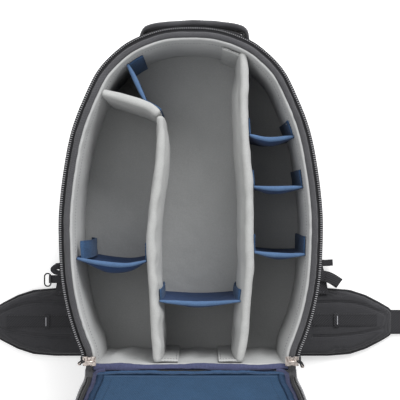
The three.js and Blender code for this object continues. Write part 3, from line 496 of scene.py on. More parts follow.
class Padding:
    """Swells pads with Blender's cloth."""

    frames = 20
    pressure = 4.0

    @classmethod
    def from_node(cls, name: str, node: str, voxel: float, shrink: float = 0.3) -> Piece:
        """Copies a CAD node's mesh and gives it even faces.

        Args:
            name: The pad's name.
            node: The node.
            voxel: The size of the faces, in millimetres.
            shrink: How far the copy is drawn in before it swells.

        Returns:
            The pad.
        """
        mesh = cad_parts[node].data.copy()
        mesh.name = name
        mesh.materials.clear()
        pad = bpy.data.objects.new(name, mesh)
        bpy.context.scene.collection.objects.link(pad)
        work = bmesh.new()
        work.from_mesh(mesh)
        bmesh.ops.remove_doubles(work, verts=work.verts, dist=1e-5)
        work.to_mesh(mesh)
        work.free()
        choose(pad)
        modifier = pad.modifiers.new("Even", "REMESH")
        modifier.mode = "VOXEL"
        modifier.voxel_size = voxel * MM
        bpy.ops.object.modifier_apply(modifier=modifier.name)
        relax = pad.modifiers.new("Relax", "SMOOTH")
        relax.factor, relax.iterations = 0.5, 2
        bpy.ops.object.modifier_apply(modifier=relax.name)
        move_corners(pad, lambda corners, normals: corners - normals * shrink)
        return pad

    @classmethod
    def swell(cls, pad: Piece, most: float, pressure: float = 0.0, held: Optional[Callable] = None) -> None:
        """Runs the cloth on a pad and keeps its result, no corner moved by more than most.

        Args:
            pad: The pad.
            most: The furthest move, in millimetres.
            pressure: The pressure inside, or 0 for the usual one.
            held: Gives each corner's hold, from 0, free, to 1, fixed.
        """
        scene = bpy.context.scene
        count = len(pad.data.vertices)
        before = np.zeros(count * 3)
        pad.data.vertices.foreach_get("co", before)
        modifier = pad.modifiers.new("Cloth", "CLOTH")
        settings = modifier.settings
        settings.quality = 5
        settings.mass = 0.3
        settings.tension_stiffness = settings.compression_stiffness = 15
        settings.bending_stiffness = 0.6
        settings.use_pressure = True
        settings.uniform_pressure_force = pressure or cls.pressure
        settings.effector_weights.gravity = 0
        if held is not None:
            group = pad.vertex_groups.new(name="Held")
            for i, value in enumerate(held(bag_place(before.reshape(-1, 3)))):
                group.add([i], float(value), "REPLACE")
            settings.vertex_group_mass = group.name
        modifier.point_cache.frame_start, modifier.point_cache.frame_end = 1, cls.frames
        for number in range(1, cls.frames + 1):
            scene.frame_set(number)
        shown = pad.evaluated_get(bpy.context.evaluated_depsgraph_get())
        after = np.zeros(count * 3)
        shown.data.vertices.foreach_get("co", after)
        choose(pad)
        bpy.ops.object.modifier_apply(modifier=modifier.name)
        move = (after - before).reshape(-1, 3)
        far = norm(move, axis=1, keepdims=True)
        share = np.minimum(1, most * MM / np.maximum(far, 1e-9))
        pad.data.vertices.foreach_set("co", (before.reshape(-1, 3) + move * share).ravel())
        pad.data.update()
        scene.frame_set(1)


class Stitches:
    """Rows of stitches that become one piece."""

    def __init__(self) -> None:
        """Starts with none."""
        self.corners: list = []
        self.faces: list = []

    def run(
        self,
        path: Array,
        up: Sequence = (0, 0, 1),
        length: float = 2.8,
        gap: float = 1.5,
        width: float = 0.8,
        height: float = 0.5,
    ) -> None:
        """Sews along a path.

        Args:
            path: The path's points in millimetres.
            up: Which way the surface faces, the same for all or one for each point.
            length: A stitch's length.
            gap: The space between two stitches.
            width: A stitch's width.
            height: How far it stands proud.
        """
        path = np.asarray(path, float)
        total = float(norm(np.diff(path, axis=0), axis=1).sum())
        count = max(int(total / (length + gap)), 1)
        facing = np.broadcast_to(np.asarray(up, float), path.shape)
        both = resample(np.hstack([path, facing]), count * 2)
        for i in range(1, count * 2, 2):
            along = unit(both[i + 1, :3] - both[i - 1, :3])
            rise = unit(both[i, 3:])
            side = np.cross(rise, along)
            middle = both[i, :3]
            base = len(self.corners)
            self.corners += [
                middle - along * length / 2,
                middle + along * length / 2,
                middle + side * width / 2,
                middle - side * width / 2,
                middle + rise * height,
                middle - rise * height * 0.5,
            ]
            ring = (2, 4, 3, 5)
            for a, b in zip(ring, ring[1:] + ring[:1]):
                self.faces.append((base, base + a, base + b))
                self.faces.append((base + 1, base + b, base + a))

    def piece(self, name: str, place: Place = row_place) -> Piece:
        """Gives all the stitches as one piece."""
        return make_piece(name, np.array(self.corners), self.faces, None, place, 80)


# ---- finishes


class Weave(Enum):
    """How a cloth is made."""

    PLAIN = "plain"
    TWILL = "twill"
    RIB = "rib"
    LOOP = "loop"
    MESH = "mesh"


def linear(colour: tuple) -> tuple:
    """Turns a colour of 0 to 255 into the numbers that a shader takes."""
    parts = [c / 255 for c in colour]
    return (*[p / 12.92 if p <= 0.04045 else ((p + 0.055) / 1.055) ** 2.4 for p in parts], 1.0)


class Nodes:
    """Adds nodes to one material."""

    def __init__(self, name: str) -> None:
        """Starts a material with an empty shader."""
        self.material = bpy.data.materials.new(name)
        self.material.use_nodes = True
        self.tree = self.material.node_tree
        self.tree.nodes.clear()
        self.shader = self.add("ShaderNodeBsdfPrincipled")
        end = self.add("ShaderNodeOutputMaterial")
        self.tree.links.new(self.shader.outputs[0], end.inputs["Surface"])

    def add(self, kind: str, settings: Optional[dict] = None, **values: object) -> bpy.types.Node:
        """Adds a node with its settings and its inputs."""
        node = self.tree.nodes.new(kind)
        for key, value in (settings or {}).items():
            setattr(node, key, value)
        for key, value in values.items():
            self.feed(node.inputs[key.replace("_", " ")], value)
        return node

    def feed(self, socket: bpy.types.NodeSocket, value: object) -> None:
        """Links a socket to another one, or gives it a value."""
        if isinstance(value, bpy.types.NodeSocket):
            self.tree.links.new(value, socket)
        else:
            socket.default_value = value

    def math(self, operation: str, first: object, second: object = 0.0) -> bpy.types.NodeSocket:
        """Works out one number from two."""
        node = self.add("ShaderNodeMath", {"operation": operation})
        self.feed(node.inputs[0], first)
        self.feed(node.inputs[1], second)
        return node.outputs[0]

    def bands(self, where: bpy.types.NodeSocket, way: str, period: float, shake: float = 0.0) -> bpy.types.NodeSocket:
        """Gives bands from 0 to 1 with a period in metres."""
        node = self.add("ShaderNodeTexWave", {"bands_direction": way}, Vector=where)
        node.inputs["Scale"].default_value = math.pi / 10 / period
        node.inputs["Distortion"].default_value = shake
        node.inputs["Detail Scale"].default_value = 1.5
        return node.outputs["Fac"]

    def noise(self, where: bpy.types.NodeSocket, size: float, detail: float = 3.0) -> bpy.types.NodeSocket:
        """Gives noise from 0 to 1 with features of a size in metres."""
        node = self.add("ShaderNodeTexNoise", Vector=where)
        node.inputs["Scale"].default_value = 1 / size
        node.inputs["Detail"].default_value = detail
        return node.outputs["Fac"]

    def tint(self, share: bpy.types.NodeSocket, colour: tuple, spread: float) -> bpy.types.NodeSocket:
        """Gives a colour that goes from darker to lighter as share goes from 0 to 1."""
        mix = self.add("ShaderNodeMix", {"data_type": "RGBA", "clamp_factor": True})
        middle = linear(colour)
        self.feed(mix.inputs[0], share)
        mix.inputs[6].default_value = (*[c * (1 - spread) for c in middle[:3]], 1)
        mix.inputs[7].default_value = (*[min(c * (1 + spread), 1) for c in middle[:3]], 1)
        return mix.outputs[2]

    def put(self, **values: float) -> None:
        """Sets numbers on the shader's own sockets."""
        for name, value in values.items():
            self.shader.inputs[name.replace("_", " ")].default_value = value

    def bump(self, height: bpy.types.NodeSocket) -> None:
        """Raises the surface by a height in metres."""
        node = self.add("ShaderNodeBump", Height=height)
        node.inputs["Distance"].default_value = 1.0
        node.inputs["Strength"].default_value = 1.0
        self.feed(self.shader.inputs["Normal"], node.outputs["Normal"])


@dataclass(frozen=True)
class Cloth:
    """A woven or knitted finish."""

    name: str
    colour: tuple
    weave: Weave = Weave.PLAIN
    thread: float = 0.9
    by_threads: bool = False
    contrast: float = 0.5
    mottle: float = 0.35
    crease: float = 0.25
    relief: float = 0.22
    roughness: float = 0.85
    sheen: float = 0.25

    def material(self) -> bpy.types.Material:
        """Builds the finish's nodes once and gives its material."""
        known = bpy.data.materials.get(self.name)
        if known is not None:
            return known
        n = Nodes(self.name)
        coordinate = n.add("ShaderNodeTexCoord")
        space = coordinate.outputs["Object"]
        where = coordinate.outputs["UV"] if self.by_threads else space
        period = self.thread * MM
        if self.weave is Weave.TWILL:
            weave = n.bands(where, "DIAGONAL", period, 0.6)
        elif self.weave is Weave.RIB:
            weave = n.bands(where, "X", period, 0.4)
        elif self.weave is Weave.LOOP:
            weave = n.noise(space, period, 2.0)
        elif self.weave is Weave.MESH:
            cells = n.add("ShaderNodeTexVoronoi", {"feature": "F1"}, Vector=space)
            cells.inputs["Scale"].default_value = 1 / (period * 2)
            cells.inputs["Randomness"].default_value = 0.15
            weave = n.math("MULTIPLY", cells.outputs["Distance"], 1.4)
        else:
            over = n.bands(where, "X", period)
            under = n.bands(where, "Y", period)
            weave = n.math("MULTIPLY", over, under)
            if not self.by_threads:
                deep = n.bands(where, "Z", period)
                both = n.math("ADD", n.math("MULTIPLY", over, deep), n.math("MULTIPLY", under, deep))
                weave = n.math("MULTIPLY", n.math("ADD", weave, both), 0.6)
        fleck = n.noise(space, 0.0016, 2.0)
        cloud = n.noise(space, 0.035, 3.0)
        share = n.math("MULTIPLY_ADD", weave, self.contrast)
        share.node.inputs[2].default_value = 0.5 - self.contrast / 2
        share = n.math("ADD", share, n.math("MULTIPLY", n.math("SUBTRACT", fleck, 0.5), self.mottle * 2))
        share = n.math("ADD", share, n.math("MULTIPLY", n.math("SUBTRACT", cloud, 0.5), self.mottle))
        n.feed(n.shader.inputs["Base Color"], n.tint(share, self.colour, 0.42))
        fold = n.noise(space, 0.016, 3.0)
        low = n.math("MULTIPLY", weave, self.relief * MM)
        n.bump(n.math("ADD", low, n.math("MULTIPLY", fold, self.crease * 4 * MM)))
        n.put(Roughness=self.roughness, Sheen_Weight=self.sheen, Sheen_Roughness=0.5, Specular_IOR_Level=0.25)
        return n.material


@dataclass(frozen=True)
class Hard:
    """A moulded plastic, rubber or metal finish."""

    name: str
    colour: tuple
    roughness: float = 0.45
    metal: float = 0.0
    grain_and_reflection: float = 0.0006
    relief: float = 0.03
    spread: float = 0.2

    def material(self) -> bpy.types.Material:
        """Builds the finish's nodes once and gives its material."""
        known = bpy.data.materials.get(self.name)
        if known is not None:
            return known
        n = Nodes(self.name)
        space = n.add("ShaderNodeTexCoord").outputs["Object"]
        # The grain and wear noise vary tone and roughness at random; on the silver, with its coarse grain and wide
        # spread, the same noise paints a reflection pattern.
        grain_and_reflection = n.noise(space, self.grain_and_reflection, 3.0)
        wear_and_reflection = n.noise(space, 0.006, 4.0)
        share = n.math("MULTIPLY", n.math("ADD", grain_and_reflection, wear_and_reflection), 0.5)
        n.feed(n.shader.inputs["Base Color"], n.tint(share, self.colour, self.spread))
        rough = n.math("MULTIPLY_ADD", wear_and_reflection, 0.24)
        rough.node.inputs[2].default_value = self.roughness - 0.12
        n.feed(n.shader.inputs["Roughness"], rough)
        n.put(Metallic=self.metal)
        n.bump(n.math("MULTIPLY", grain_and_reflection, self.relief * MM))
        return n.material


SHELL = Cloth("ballistic_nylon", (52, 52, 55), Weave.PLAIN, 1.5, True, 0.7, 0.4, 0.12, 0.3, 0.8, 0.2)
PANEL_CLOTH = Cloth("panel_nylon", (48, 48, 51), Weave.PLAIN, 1.5, True, 0.7, 0.4, 0.2, 0.3, 0.8, 0.2)
RIM_RIB = Cloth("rim_rib_tape", (72, 72, 75), Weave.TWILL, 1.3, True, 0.4, 0.55, 0.1, 0.25, 0.85, 0.15)
TAPE = Cloth("zip_tape", (30, 30, 33), Weave.RIB, 1.2, True, 0.5, 0.3, 0.04, 0.2, 0.8, 0.1)
LINING = Cloth("brushed_lining", (170, 171, 171), Weave.LOOP, 0.7, False, 0.22, 0.16, 0.3, 0.14, 0.95, 0.15)
DIVIDER_GREY = Cloth("brushed_divider", (170, 171, 170), Weave.LOOP, 0.7, False, 0.22, 0.16, 0.32, 0.14, 0.95, 0.15)
NAVY = Cloth("navy_divider", (34, 56, 92), Weave.LOOP, 0.9, False, 0.45, 0.4, 0.3, 0.16, 0.9, 0.05)
STEEL_BLUE = Cloth("steel_blue_edge", (76, 103, 138), Weave.RIB, 1.5, True, 0.4, 0.35, 0.12, 0.2, 0.8, 0.1)
DENIM = Cloth("denim_tab", (52, 78, 110), Weave.LOOP, 1.3, False, 0.8, 0.7, 0.3, 0.35, 0.9, 0.05)
PURPLE = Cloth("purple_ribbed_roll", (66, 70, 100), Weave.RIB, 1.8, True, 0.4, 0.45, 0.2, 0.25, 0.75, 0.1)
# Very dark navy for the puckered seam under the hinge's lip: partly the seam's own colour, partly painted shade in
# the gap beside it.
SEAM_SHADE_BLUE = Cloth("puckered_seam_and_shade", (18, 26, 48), Weave.RIB, 1.6, True, 0.5, 0.4, 0.2, 0.2, 0.8, 0.05)
HEM_BLUE = Cloth("pocket_hem", (66, 96, 130), Weave.RIB, 1.6, True, 0.4, 0.3, 0.1, 0.2, 0.8, 0.1)
LID_BLUE = Cloth("lid_lining_cloth", (60, 90, 126), Weave.PLAIN, 1.3, True, 0.5, 0.4, 0.35, 0.2, 0.8, 0.1)
POCKET_BLUE = Cloth("lid_pocket_cloth", (56, 89, 123), Weave.TWILL, 1.6, True, 0.45, 0.4, 0.3, 0.2, 0.8, 0.1)
PADDED = Cloth("padded_nylon", (54, 54, 57), Weave.PLAIN, 1.4, False, 0.5, 0.45, 0.2, 0.25, 0.85, 0.2)
# A lighter copy of the padded nylon: painted light for the handle's lit top.
HANDLE_LIT_NYLON = Cloth("handle_nylon_lit", (66, 66, 69), Weave.PLAIN, 1.4, True, 0.5, 0.45, 0.15, 0.25, 0.8, 0.2)
AIR_MESH = Cloth("air_mesh", (52, 52, 55), Weave.MESH, 1.5, False, 0.8, 0.3, 0.2, 0.5, 0.9, 0.2)
WEBBING = Cloth("woven_webbing", (46, 46, 49), Weave.TWILL, 2.0, True, 0.6, 0.35, 0.05, 0.4, 0.7, 0.15)
PIPING = Cloth("piping_cord", (38, 38, 41), Weave.TWILL, 1.6, True, 0.5, 0.3, 0.05, 0.25, 0.7, 0.1)
THREAD_DARK = Cloth("thread_dark", (26, 26, 29), Weave.LOOP, 0.4, False, 0.4, 0.2, 0.0, 0.1, 0.6, 0.1)
THREAD_GREY = Cloth("thread_grey", (112, 112, 118), Weave.LOOP, 0.4, False, 0.4, 0.2, 0.0, 0.1, 0.6, 0.1)
THREAD_BLUE = Cloth("thread_blue", (30, 44, 74), Weave.LOOP, 0.4, False, 0.4, 0.2, 0.0, 0.1, 0.6, 0.1)
REFLECTIVE = Hard("reflective_bar", (190, 190, 196), 0.35, 0.0, 0.0004, 0.02, 0.1)
TEETH = Hard("teeth_plastic", (150, 150, 153), 0.5, 0.0, 0.0008, 0.02, 0.3)
# The silver's coarse grain and wide colour spread paint reflections onto the metal.
SILVER = Hard("slider_silver", (196, 186, 180), 0.28, 0.9, 0.0035, 0.02, 0.6)
DARK_WIRE = Hard("dark_wire", (52, 52, 54), 0.4, 0.3, 0.0008, 0.02, 0.2)
RUBBER = Hard("moulded_rubber", (30, 30, 32), 0.6, 0.0, 0.0005, 0.04, 0.25)
PLASTIC = Hard("buckle_plastic", (34, 34, 37), 0.42, 0.0, 0.0004, 0.03, 0.2)
FLOOR = Hard("studio_floor", (250, 250, 250), 0.9, 0.0, 0.02, 0.0, 0.01)


def dress(piece: Piece, finish: object, slot: str, *nodes: str) -> Piece:
    """Gives a piece its finish and its body, and reports it.

    Args:
        piece: The piece.
        finish: A Cloth or a Hard.
        slot: The record's slot; not used.
        nodes: The CAD nodes that it stands for.

    Returns:
        The same piece.
    """
    piece.data.materials.clear()
    piece.data.materials.append(finish.material())
    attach(piece, "root")
    if nodes:
        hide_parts(*nodes)
    LOG.info("%s: %d faces", piece.name, len(piece.data.polygons))
    return piece


# ---- body


@dataclass
class BodyShell:
    """The wall, the back panel and the rim's binding."""

    bulge: float = 3.5
    piping: float = 2.3
    seam_height: float = 160.0
    count: int = 100
    across: int = 44

    def build(self) -> None:
        """Builds the shell's pieces."""
        self.wall()
        self.panel()
        self.binding()
        self.trim()

    def outside(self, z: float) -> float:
        """Gives how far the wall stands out at a height."""
        up = (z - WALL_FOOT) / (WALL_TOP - WALL_FOOT)
        swell = np.interp(up, (0, 0.1, 0.25, 0.41, 0.6, 0.75, 0.82, 1), (0.1, 0.5, 0.85, 1, 0.7, 0.25, 0, 0))
        return float(swell) * self.bulge

    def wall(self) -> None:
        """Builds the wall with its folds."""
        section = []
        for z in np.linspace(WALL_FOOT, WALL_TOP, 26):
            out = self.outside(z)
            section.append((ZIP_REACH - out, -out, z))
        section += [(WALL_IN, 5.0, z) for z in (WALL_TOP, 140, 90, WALL_FOOT)]
        wall = skin("wall_fabric", rim_rows(section, self.count, self.across), closed=True)
        below = lambda p: ramp(p[:, 2], 158, 133) * ramp(p[:, 2], 32, 46)
        soften(wall, 70, 1.3, 11, below, (1, 1, 0.5))
        soften(wall, 22, 0.45, 12, below, (1, 1, 0.7))
        dress(wall, SHELL, "shell_fabric", "side_wall")

    def panel(self) -> None:
        """Builds the padded back panel."""
        levels = [
            (ZIP_REACH + 30, 30, 20), (ZIP_REACH + 22, 22, 20.3), (ZIP_REACH + 12, 12, 22),
            (ZIP_REACH + 5, 5, 24.6), (ZIP_REACH + 1.2, 1.2, 27.6), (ZIP_REACH + 0.2, 0.2, PANEL_TOP),
        ]
        panel = slab("panel_fabric", levels, count=54, across=26)
        dress(panel, PANEL_CLOTH, "shell_fabric", "back_panel")

    def binding(self) -> None:
        """Builds the ribbed binding that rolls over the wall's top."""
        inner, outer, low = 12.9, ZIP_REACH - 0.6, WALL_TOP + 0.2
        section = []
        for share in np.linspace(0, 1, 11):
            angle = math.pi * share
            inset = (inner + outer) / 2 - math.cos(angle) * (inner - outer) / 2
            section.append((inset, low + 4.3 * math.sin(angle) ** 0.6))
        section.append((inner - 1, low - 0.4))
        section.append((outer + 1, low - 0.4))
        roll = skin("rim_roll", strip_rows(section, RIM_FOOT, 230))
        soften(roll, 26, 0.35, 21)
        soften(roll, 7, 0.16, 22)
        dress(roll, RIM_RIB, "binding_fabric", "rim_binding")

    def trim(self) -> None:
        """Builds the piping at the wall's foot, the seam tape and their stitches."""
        cord = raised(RIM.loop(ZIP_REACH + 0.6, 0.6, 150, 66), WALL_FOOT)
        piping = skin("foot_piping", sweep_rows(cord, oval(2 * self.piping, 2 * self.piping, 2, 8), True), True)
        dress(piping, PIPING, "shell_fabric")
        tape_path = raised(RIM.strip(ZIP_REACH - 0.9, RIM_FOOT, 150), self.seam_height)
        tape = skin("wall_seam_tape", sweep_rows(tape_path, oval(1.6, 9, 4, 10)))
        dress(tape, TAPE, "binding_fabric")
        sewn = Stitches()
        for z in (self.seam_height - 2.8, self.seam_height + 2.8, WALL_FOOT + 9):
            reach = ZIP_REACH - 1.75 if z > 100 else ZIP_REACH - self.outside(z) - 0.25
            path = RIM.strip(reach, RIM_FOOT, 220)
            along = unit(np.gradient(path, axis=0))
            facing = np.column_stack([along[:, 1], -along[:, 0], np.zeros(len(path))])
            sewn.run(raised(path, z), facing, 3.0, 1.6)
        dress(sewn.piece("wall_stitches"), THREAD_GREY, "shell_fabric")


@dataclass
class LiningSet:
    """The padded lining of the walls and the floor."""

    roll: float = 2.6
    count: int = 120
    across: int = 60

    def build(self) -> None:
        """Builds the lining's pieces."""
        self.walls()
        self.floor()
        self.stitches()

    def walls(self) -> None:
        """Builds the wall lining with its rolled top and its soft folds."""
        section = [(LINING_OUT, FOOT_LINING_OUT, 33.8), (LINING_OUT, FOOT_LINING_OUT, 100)]
        section += [(LINING_OUT, FOOT_LINING_OUT, 183), (LINING_OUT, FOOT_LINING_OUT, 187.4)]
        for angle in np.radians(np.linspace(180, 0, 11)):
            across = (math.cos(angle) + 1) / 2
            rise = math.sin(angle) * self.roll
            section.append((12.3 + across * 4.6, FOOT_LINING_OUT + 0.2 + across * 3.0, 188.3 + rise - across))
        inner = [(184.5, -1.3), (181, -0.5), (177, 0.3), (168, 1.4), (150, 2.1), (130, 2.4), (105, 2.3)]
        inner += [(80, 1.9), (60, 1.3), (45, 0.6), (37, 0.1), (33.8, -0.4)]
        section += [(LINING_IN + push, FOOT_IN + push * 0.4, z) for z, push in inner]
        lining = skin("lining_padding", rim_rows(section, self.count, self.across), closed=True)
        inside = lambda p: ramp(p[:, 2], 184, 172) * ramp(p[:, 2], 34, 44)
        soften(lining, 60, 0.9, 31, inside, (1, 1, 0.35))
        move_corners(lining, self.foot_folds)
        soften(lining, 14, 0.3, 33)
        dress(lining, LINING, "lining_fabric", "lining_wall")

    @staticmethod
    def foot_folds(corners: Array, normals: Array) -> Array:
        """Lets the foot's lining swell inwards between the dividers' ends."""
        x, y, z = corners.T
        free = np.minimum(np.abs(x + 40), np.abs(x - 60))
        share = ramp(free, 22, 48) * ramp(np.abs(x), 132, 108)
        inner = (y > BAG_FOOT + 6.5) & (y < BAG_FOOT + 12) & (np.abs(x) < 134)
        depth = np.interp(z, (34, 70, 120, 160, 184, 189), (0.4, 0.9, 1.0, 0.8, 0.25, 0.0))
        wave = 0.75 + 0.35 * np.sin(x / 7.5 + 0.02 * z) + 0.25 * np.sin(x / 17 - 0.03 * z + 1)
        moved = corners.copy()
        moved[:, 1] += np.where(inner, share * depth * wave * 5.5, 0)
        return moved

    def floor(self) -> None:
        """Builds the floor lining, a little crowned."""
        edge = (LINING_OUT + 0.2, FOOT_LINING_OUT + 0.2)
        levels = [(*edge, WALL_FOOT), (*edge, WALL_FOOT + 2.2), (edge[0] + 1.5, edge[1] + 1.5, FLOOR_TOP)]
        floor = slab("floor_padding", levels, count=60, across=34)
        soften(floor, 50, 0.35, 34, lambda p: p[:, 2] > 32)
        dress(floor, LINING, "lining_fabric", "lining_floor")

    def stitches(self) -> None:
        """Sews the seam below the lining's rolled top."""
        sewn = Stitches()
        path = RIM.strip(LINING_IN + 0.7, FOOT_IN + 4, 220)
        along = unit(np.gradient(path, axis=0))
        facing = np.column_stack([-along[:, 1], along[:, 0], np.zeros(len(path))])
        sewn.run(raised(path, 181), facing, 2.8, 1.5, 0.7, 0.5)
        dress(sewn.piece("lining_stitches"), THREAD_GREY, "lining_fabric")


# ---- zip


@dataclass
class Zip:
    """The zip's teeth, tape, sliders and pulls."""

    pitch: float = 3.0
    reach: float = 3.2
    height: float = 3.2
    half_tooth: float = 0.62
    chain_inset: float = -0.7
    chain_z: float = 186.8
    top_reach: float = 0.5

    def build(self) -> None:
        """Builds the zip on the body."""
        section = [(4.7, 169.9), (3.4, 170.2), (2.6, 182), (-2.9, 184.6), (-3.1, 185.6), (2.6, 186.2), (4.9, 187.9)]
        tape = skin("zip_tape", strip_rows(section, RIM_FOOT, 160))
        dress(tape, TAPE, "binding_fabric", "zip_tape_body")
        path = raised(RIM.strip(self.chain_inset, RIM_FOOT, 400), self.chain_z)
        teeth = self.teeth("zip_teeth_body", path, row_place, self.top_reach)
        dress(teeth, TEETH, "zip_teeth", "zip_chain_body")
        for side, sign in (("right", 1), ("left", -1)):
            self.slider(side, sign)
            self.pull(side, sign)

    def teeth(self, name: str, path: Array, place: Place, slim: float = 1.0) -> Piece:
        """Sets teeth along a path.

        Args:
            name: The piece's name.
            path: The middle of the teeth, in millimetres.
            place: Puts the corners into the frame.
            slim: The share of their reach that the teeth show at the top, where the tape turns up.

        Returns:
            All teeth as one piece.
        """
        total = float(norm(np.diff(path, axis=0), axis=1).sum())
        count = int(total / self.pitch)
        line = resample(path, count)
        along = unit(np.gradient(line, axis=0))
        side = np.stack([-along[:, 1], along[:, 0], np.zeros(len(line))], axis=1)
        corners, faces = [], []
        for middle, way, across in zip(line, along, side):
            base = len(corners)
            reach = self.reach * float(np.interp(middle[1], (150, 205), (1, slim)))
            for rise, wide, long in ((-0.5, 1, 1), (0.25, 1, 1), (0.5, 0.66, 0.55)):
                for a, b in ((-1, -1), (1, -1), (1, 1), (-1, 1)):
                    corners.append(
                        middle
                        + way * (a * self.half_tooth * long)
                        + across * (b * reach / 2 * wide)
                        + np.array((0, 0, rise * self.height))
                    )
            for level in (0, 4):
                for j in range(4):
                    k = (j + 1) % 4
                    faces.append((base + level + j, base + level + k, base + level + 4 + k, base + level + 4 + j))
            faces.append((base + 3, base + 2, base + 1, base))
            faces.append((base + 8, base + 9, base + 10, base + 11))
        return make_piece(name, np.array(corners), faces, None, place, 30)

    def slider(self, side: str, sign: int) -> None:
        """Models a metal slider with a bridge over its plate."""
        low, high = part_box(f"zip_slider_{side}")
        size = high - low
        middle = (low + high) / 2
        middle.z = low.z + 0.0026
        plate = Bench.block(f"slider_{side}", middle, (size.x, size.y, 0.0046))
        for end in (1, -1):
            notch = Bench.rod(f"notch_{end}", middle + Vector((0, end * (size.y / 2 + 0.0022), 0)), 0.0034, 0.02)
            Bench.cut(plate, notch)
        upright = lambda a, b: abs(a.z - b.z) > 0.002 and abs(a.y - middle.y) > size.y * 0.4
        Bench.bevel_edges(plate, upright, 0.0022, 4)
        Bench.bevel_edges(plate, lambda a, b: min(a.z, b.z) > middle.z, 0.0008, 3)
        Bench.press_face(plate, Vector((0, 0, 1)), 0.0014, -0.0013)
        bridge = Bench.hoop(f"slider_bridge_{side}", middle + Vector((0, 0, 0.0004)), 0.0049, 0.0014)
        Bench.stretch(bridge, middle, (1.2, 0.95, 0.95))
        rivet = Bench.rod(f"slider_rivet_{side}", middle + Vector((sign * 0.0052, 0, 0.0022)), 0.0019, 0.0016)
        Bench.join(plate, [bridge, rivet])
        dress(smooth(plate, 40), SILVER, "slider_metal", f"zip_slider_{side}")

    def pull(self, side: str, sign: int) -> None:
        """Models a rubber pull with grip ribs, on a short cord."""
        low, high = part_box(f"zip_pull_{side}")
        size = high - low
        middle = (low + high) / 2
        grip_low = low.z
        grip_high = high.z - 0.011
        centre = Vector((middle.x, middle.y, (grip_low + grip_high) / 2))
        grip = Bench.block(f"pull_{side}", centre, (size.x * 0.92, size.y, grip_high - grip_low))
        Bench.bevel_edges(grip, lambda a, b: True, 0.0013, 3)
        ribs = []
        for i in range(5):
            place = Vector((middle.x + sign * size.x * 0.4, middle.y, grip_low + 0.004 + i * 0.003))
            rib = Bench.block(f"pull_rib_{side}_{i}", place, (0.0012, size.y * 0.7, 0.0011))
            Bench.bevel_edges(rib, lambda a, b: True, 0.0003, 2)
            ribs.append(rib)
        Bench.join(grip, ribs)
        dress(smooth(grip, 40), RUBBER, "pull_rubber", f"zip_pull_{side}")
        start = Vector((low.x if sign > 0 else high.x, middle.y, high.z - 0.001))
        hang = Vector((0.0006, -0.0034, 0)) if sign > 0 else Vector((0, 0, 0))
        loop = [
            start + Vector((-sign * 0.005, 0, 0.0025)),
            start + Vector((sign * 0.002, 0.0008, 0.0024)),
            start + Vector((sign * 0.0062, -0.003, 0.0004)) + hang,
            start + Vector((sign * 0.0052, -0.0035, -0.0035)) + hang,
            Vector((middle.x, middle.y, grip_high - 0.001)),
            start + Vector((sign * 0.0032, -0.0048, -0.0035)) + hang,
            start + Vector((sign * 0.004, -0.0046, 0.0004)) + hang,
            start + Vector((0, -0.0016, 0.0018)),
            start + Vector((-sign * 0.005, 0, 0.0022)),
        ]
        path = smooth_route([tuple(point) for point in loop], 44)
        rows = sweep_rows(path, oval(0.0017, 0.0017, 2, 8), up=(0.0, 1.0, 0.05))
        cord = skin(f"pull_loop_{side}", rows, place=lambda points: np.asarray(points, float))
        dress(cord, PIPING, "pull_rubber")
        place = start + Vector((sign * 0.0048, -0.0036, -0.001)) + hang
        crimp = Bench.block(f"pull_crimp_{side}", place, (0.0046, 0.0044, 0.0034))
        Bench.bevel_edges(crimp, lambda a, b: True, 0.0008, 3)
        dress(smooth(crimp, 40), SILVER, "slider_metal")


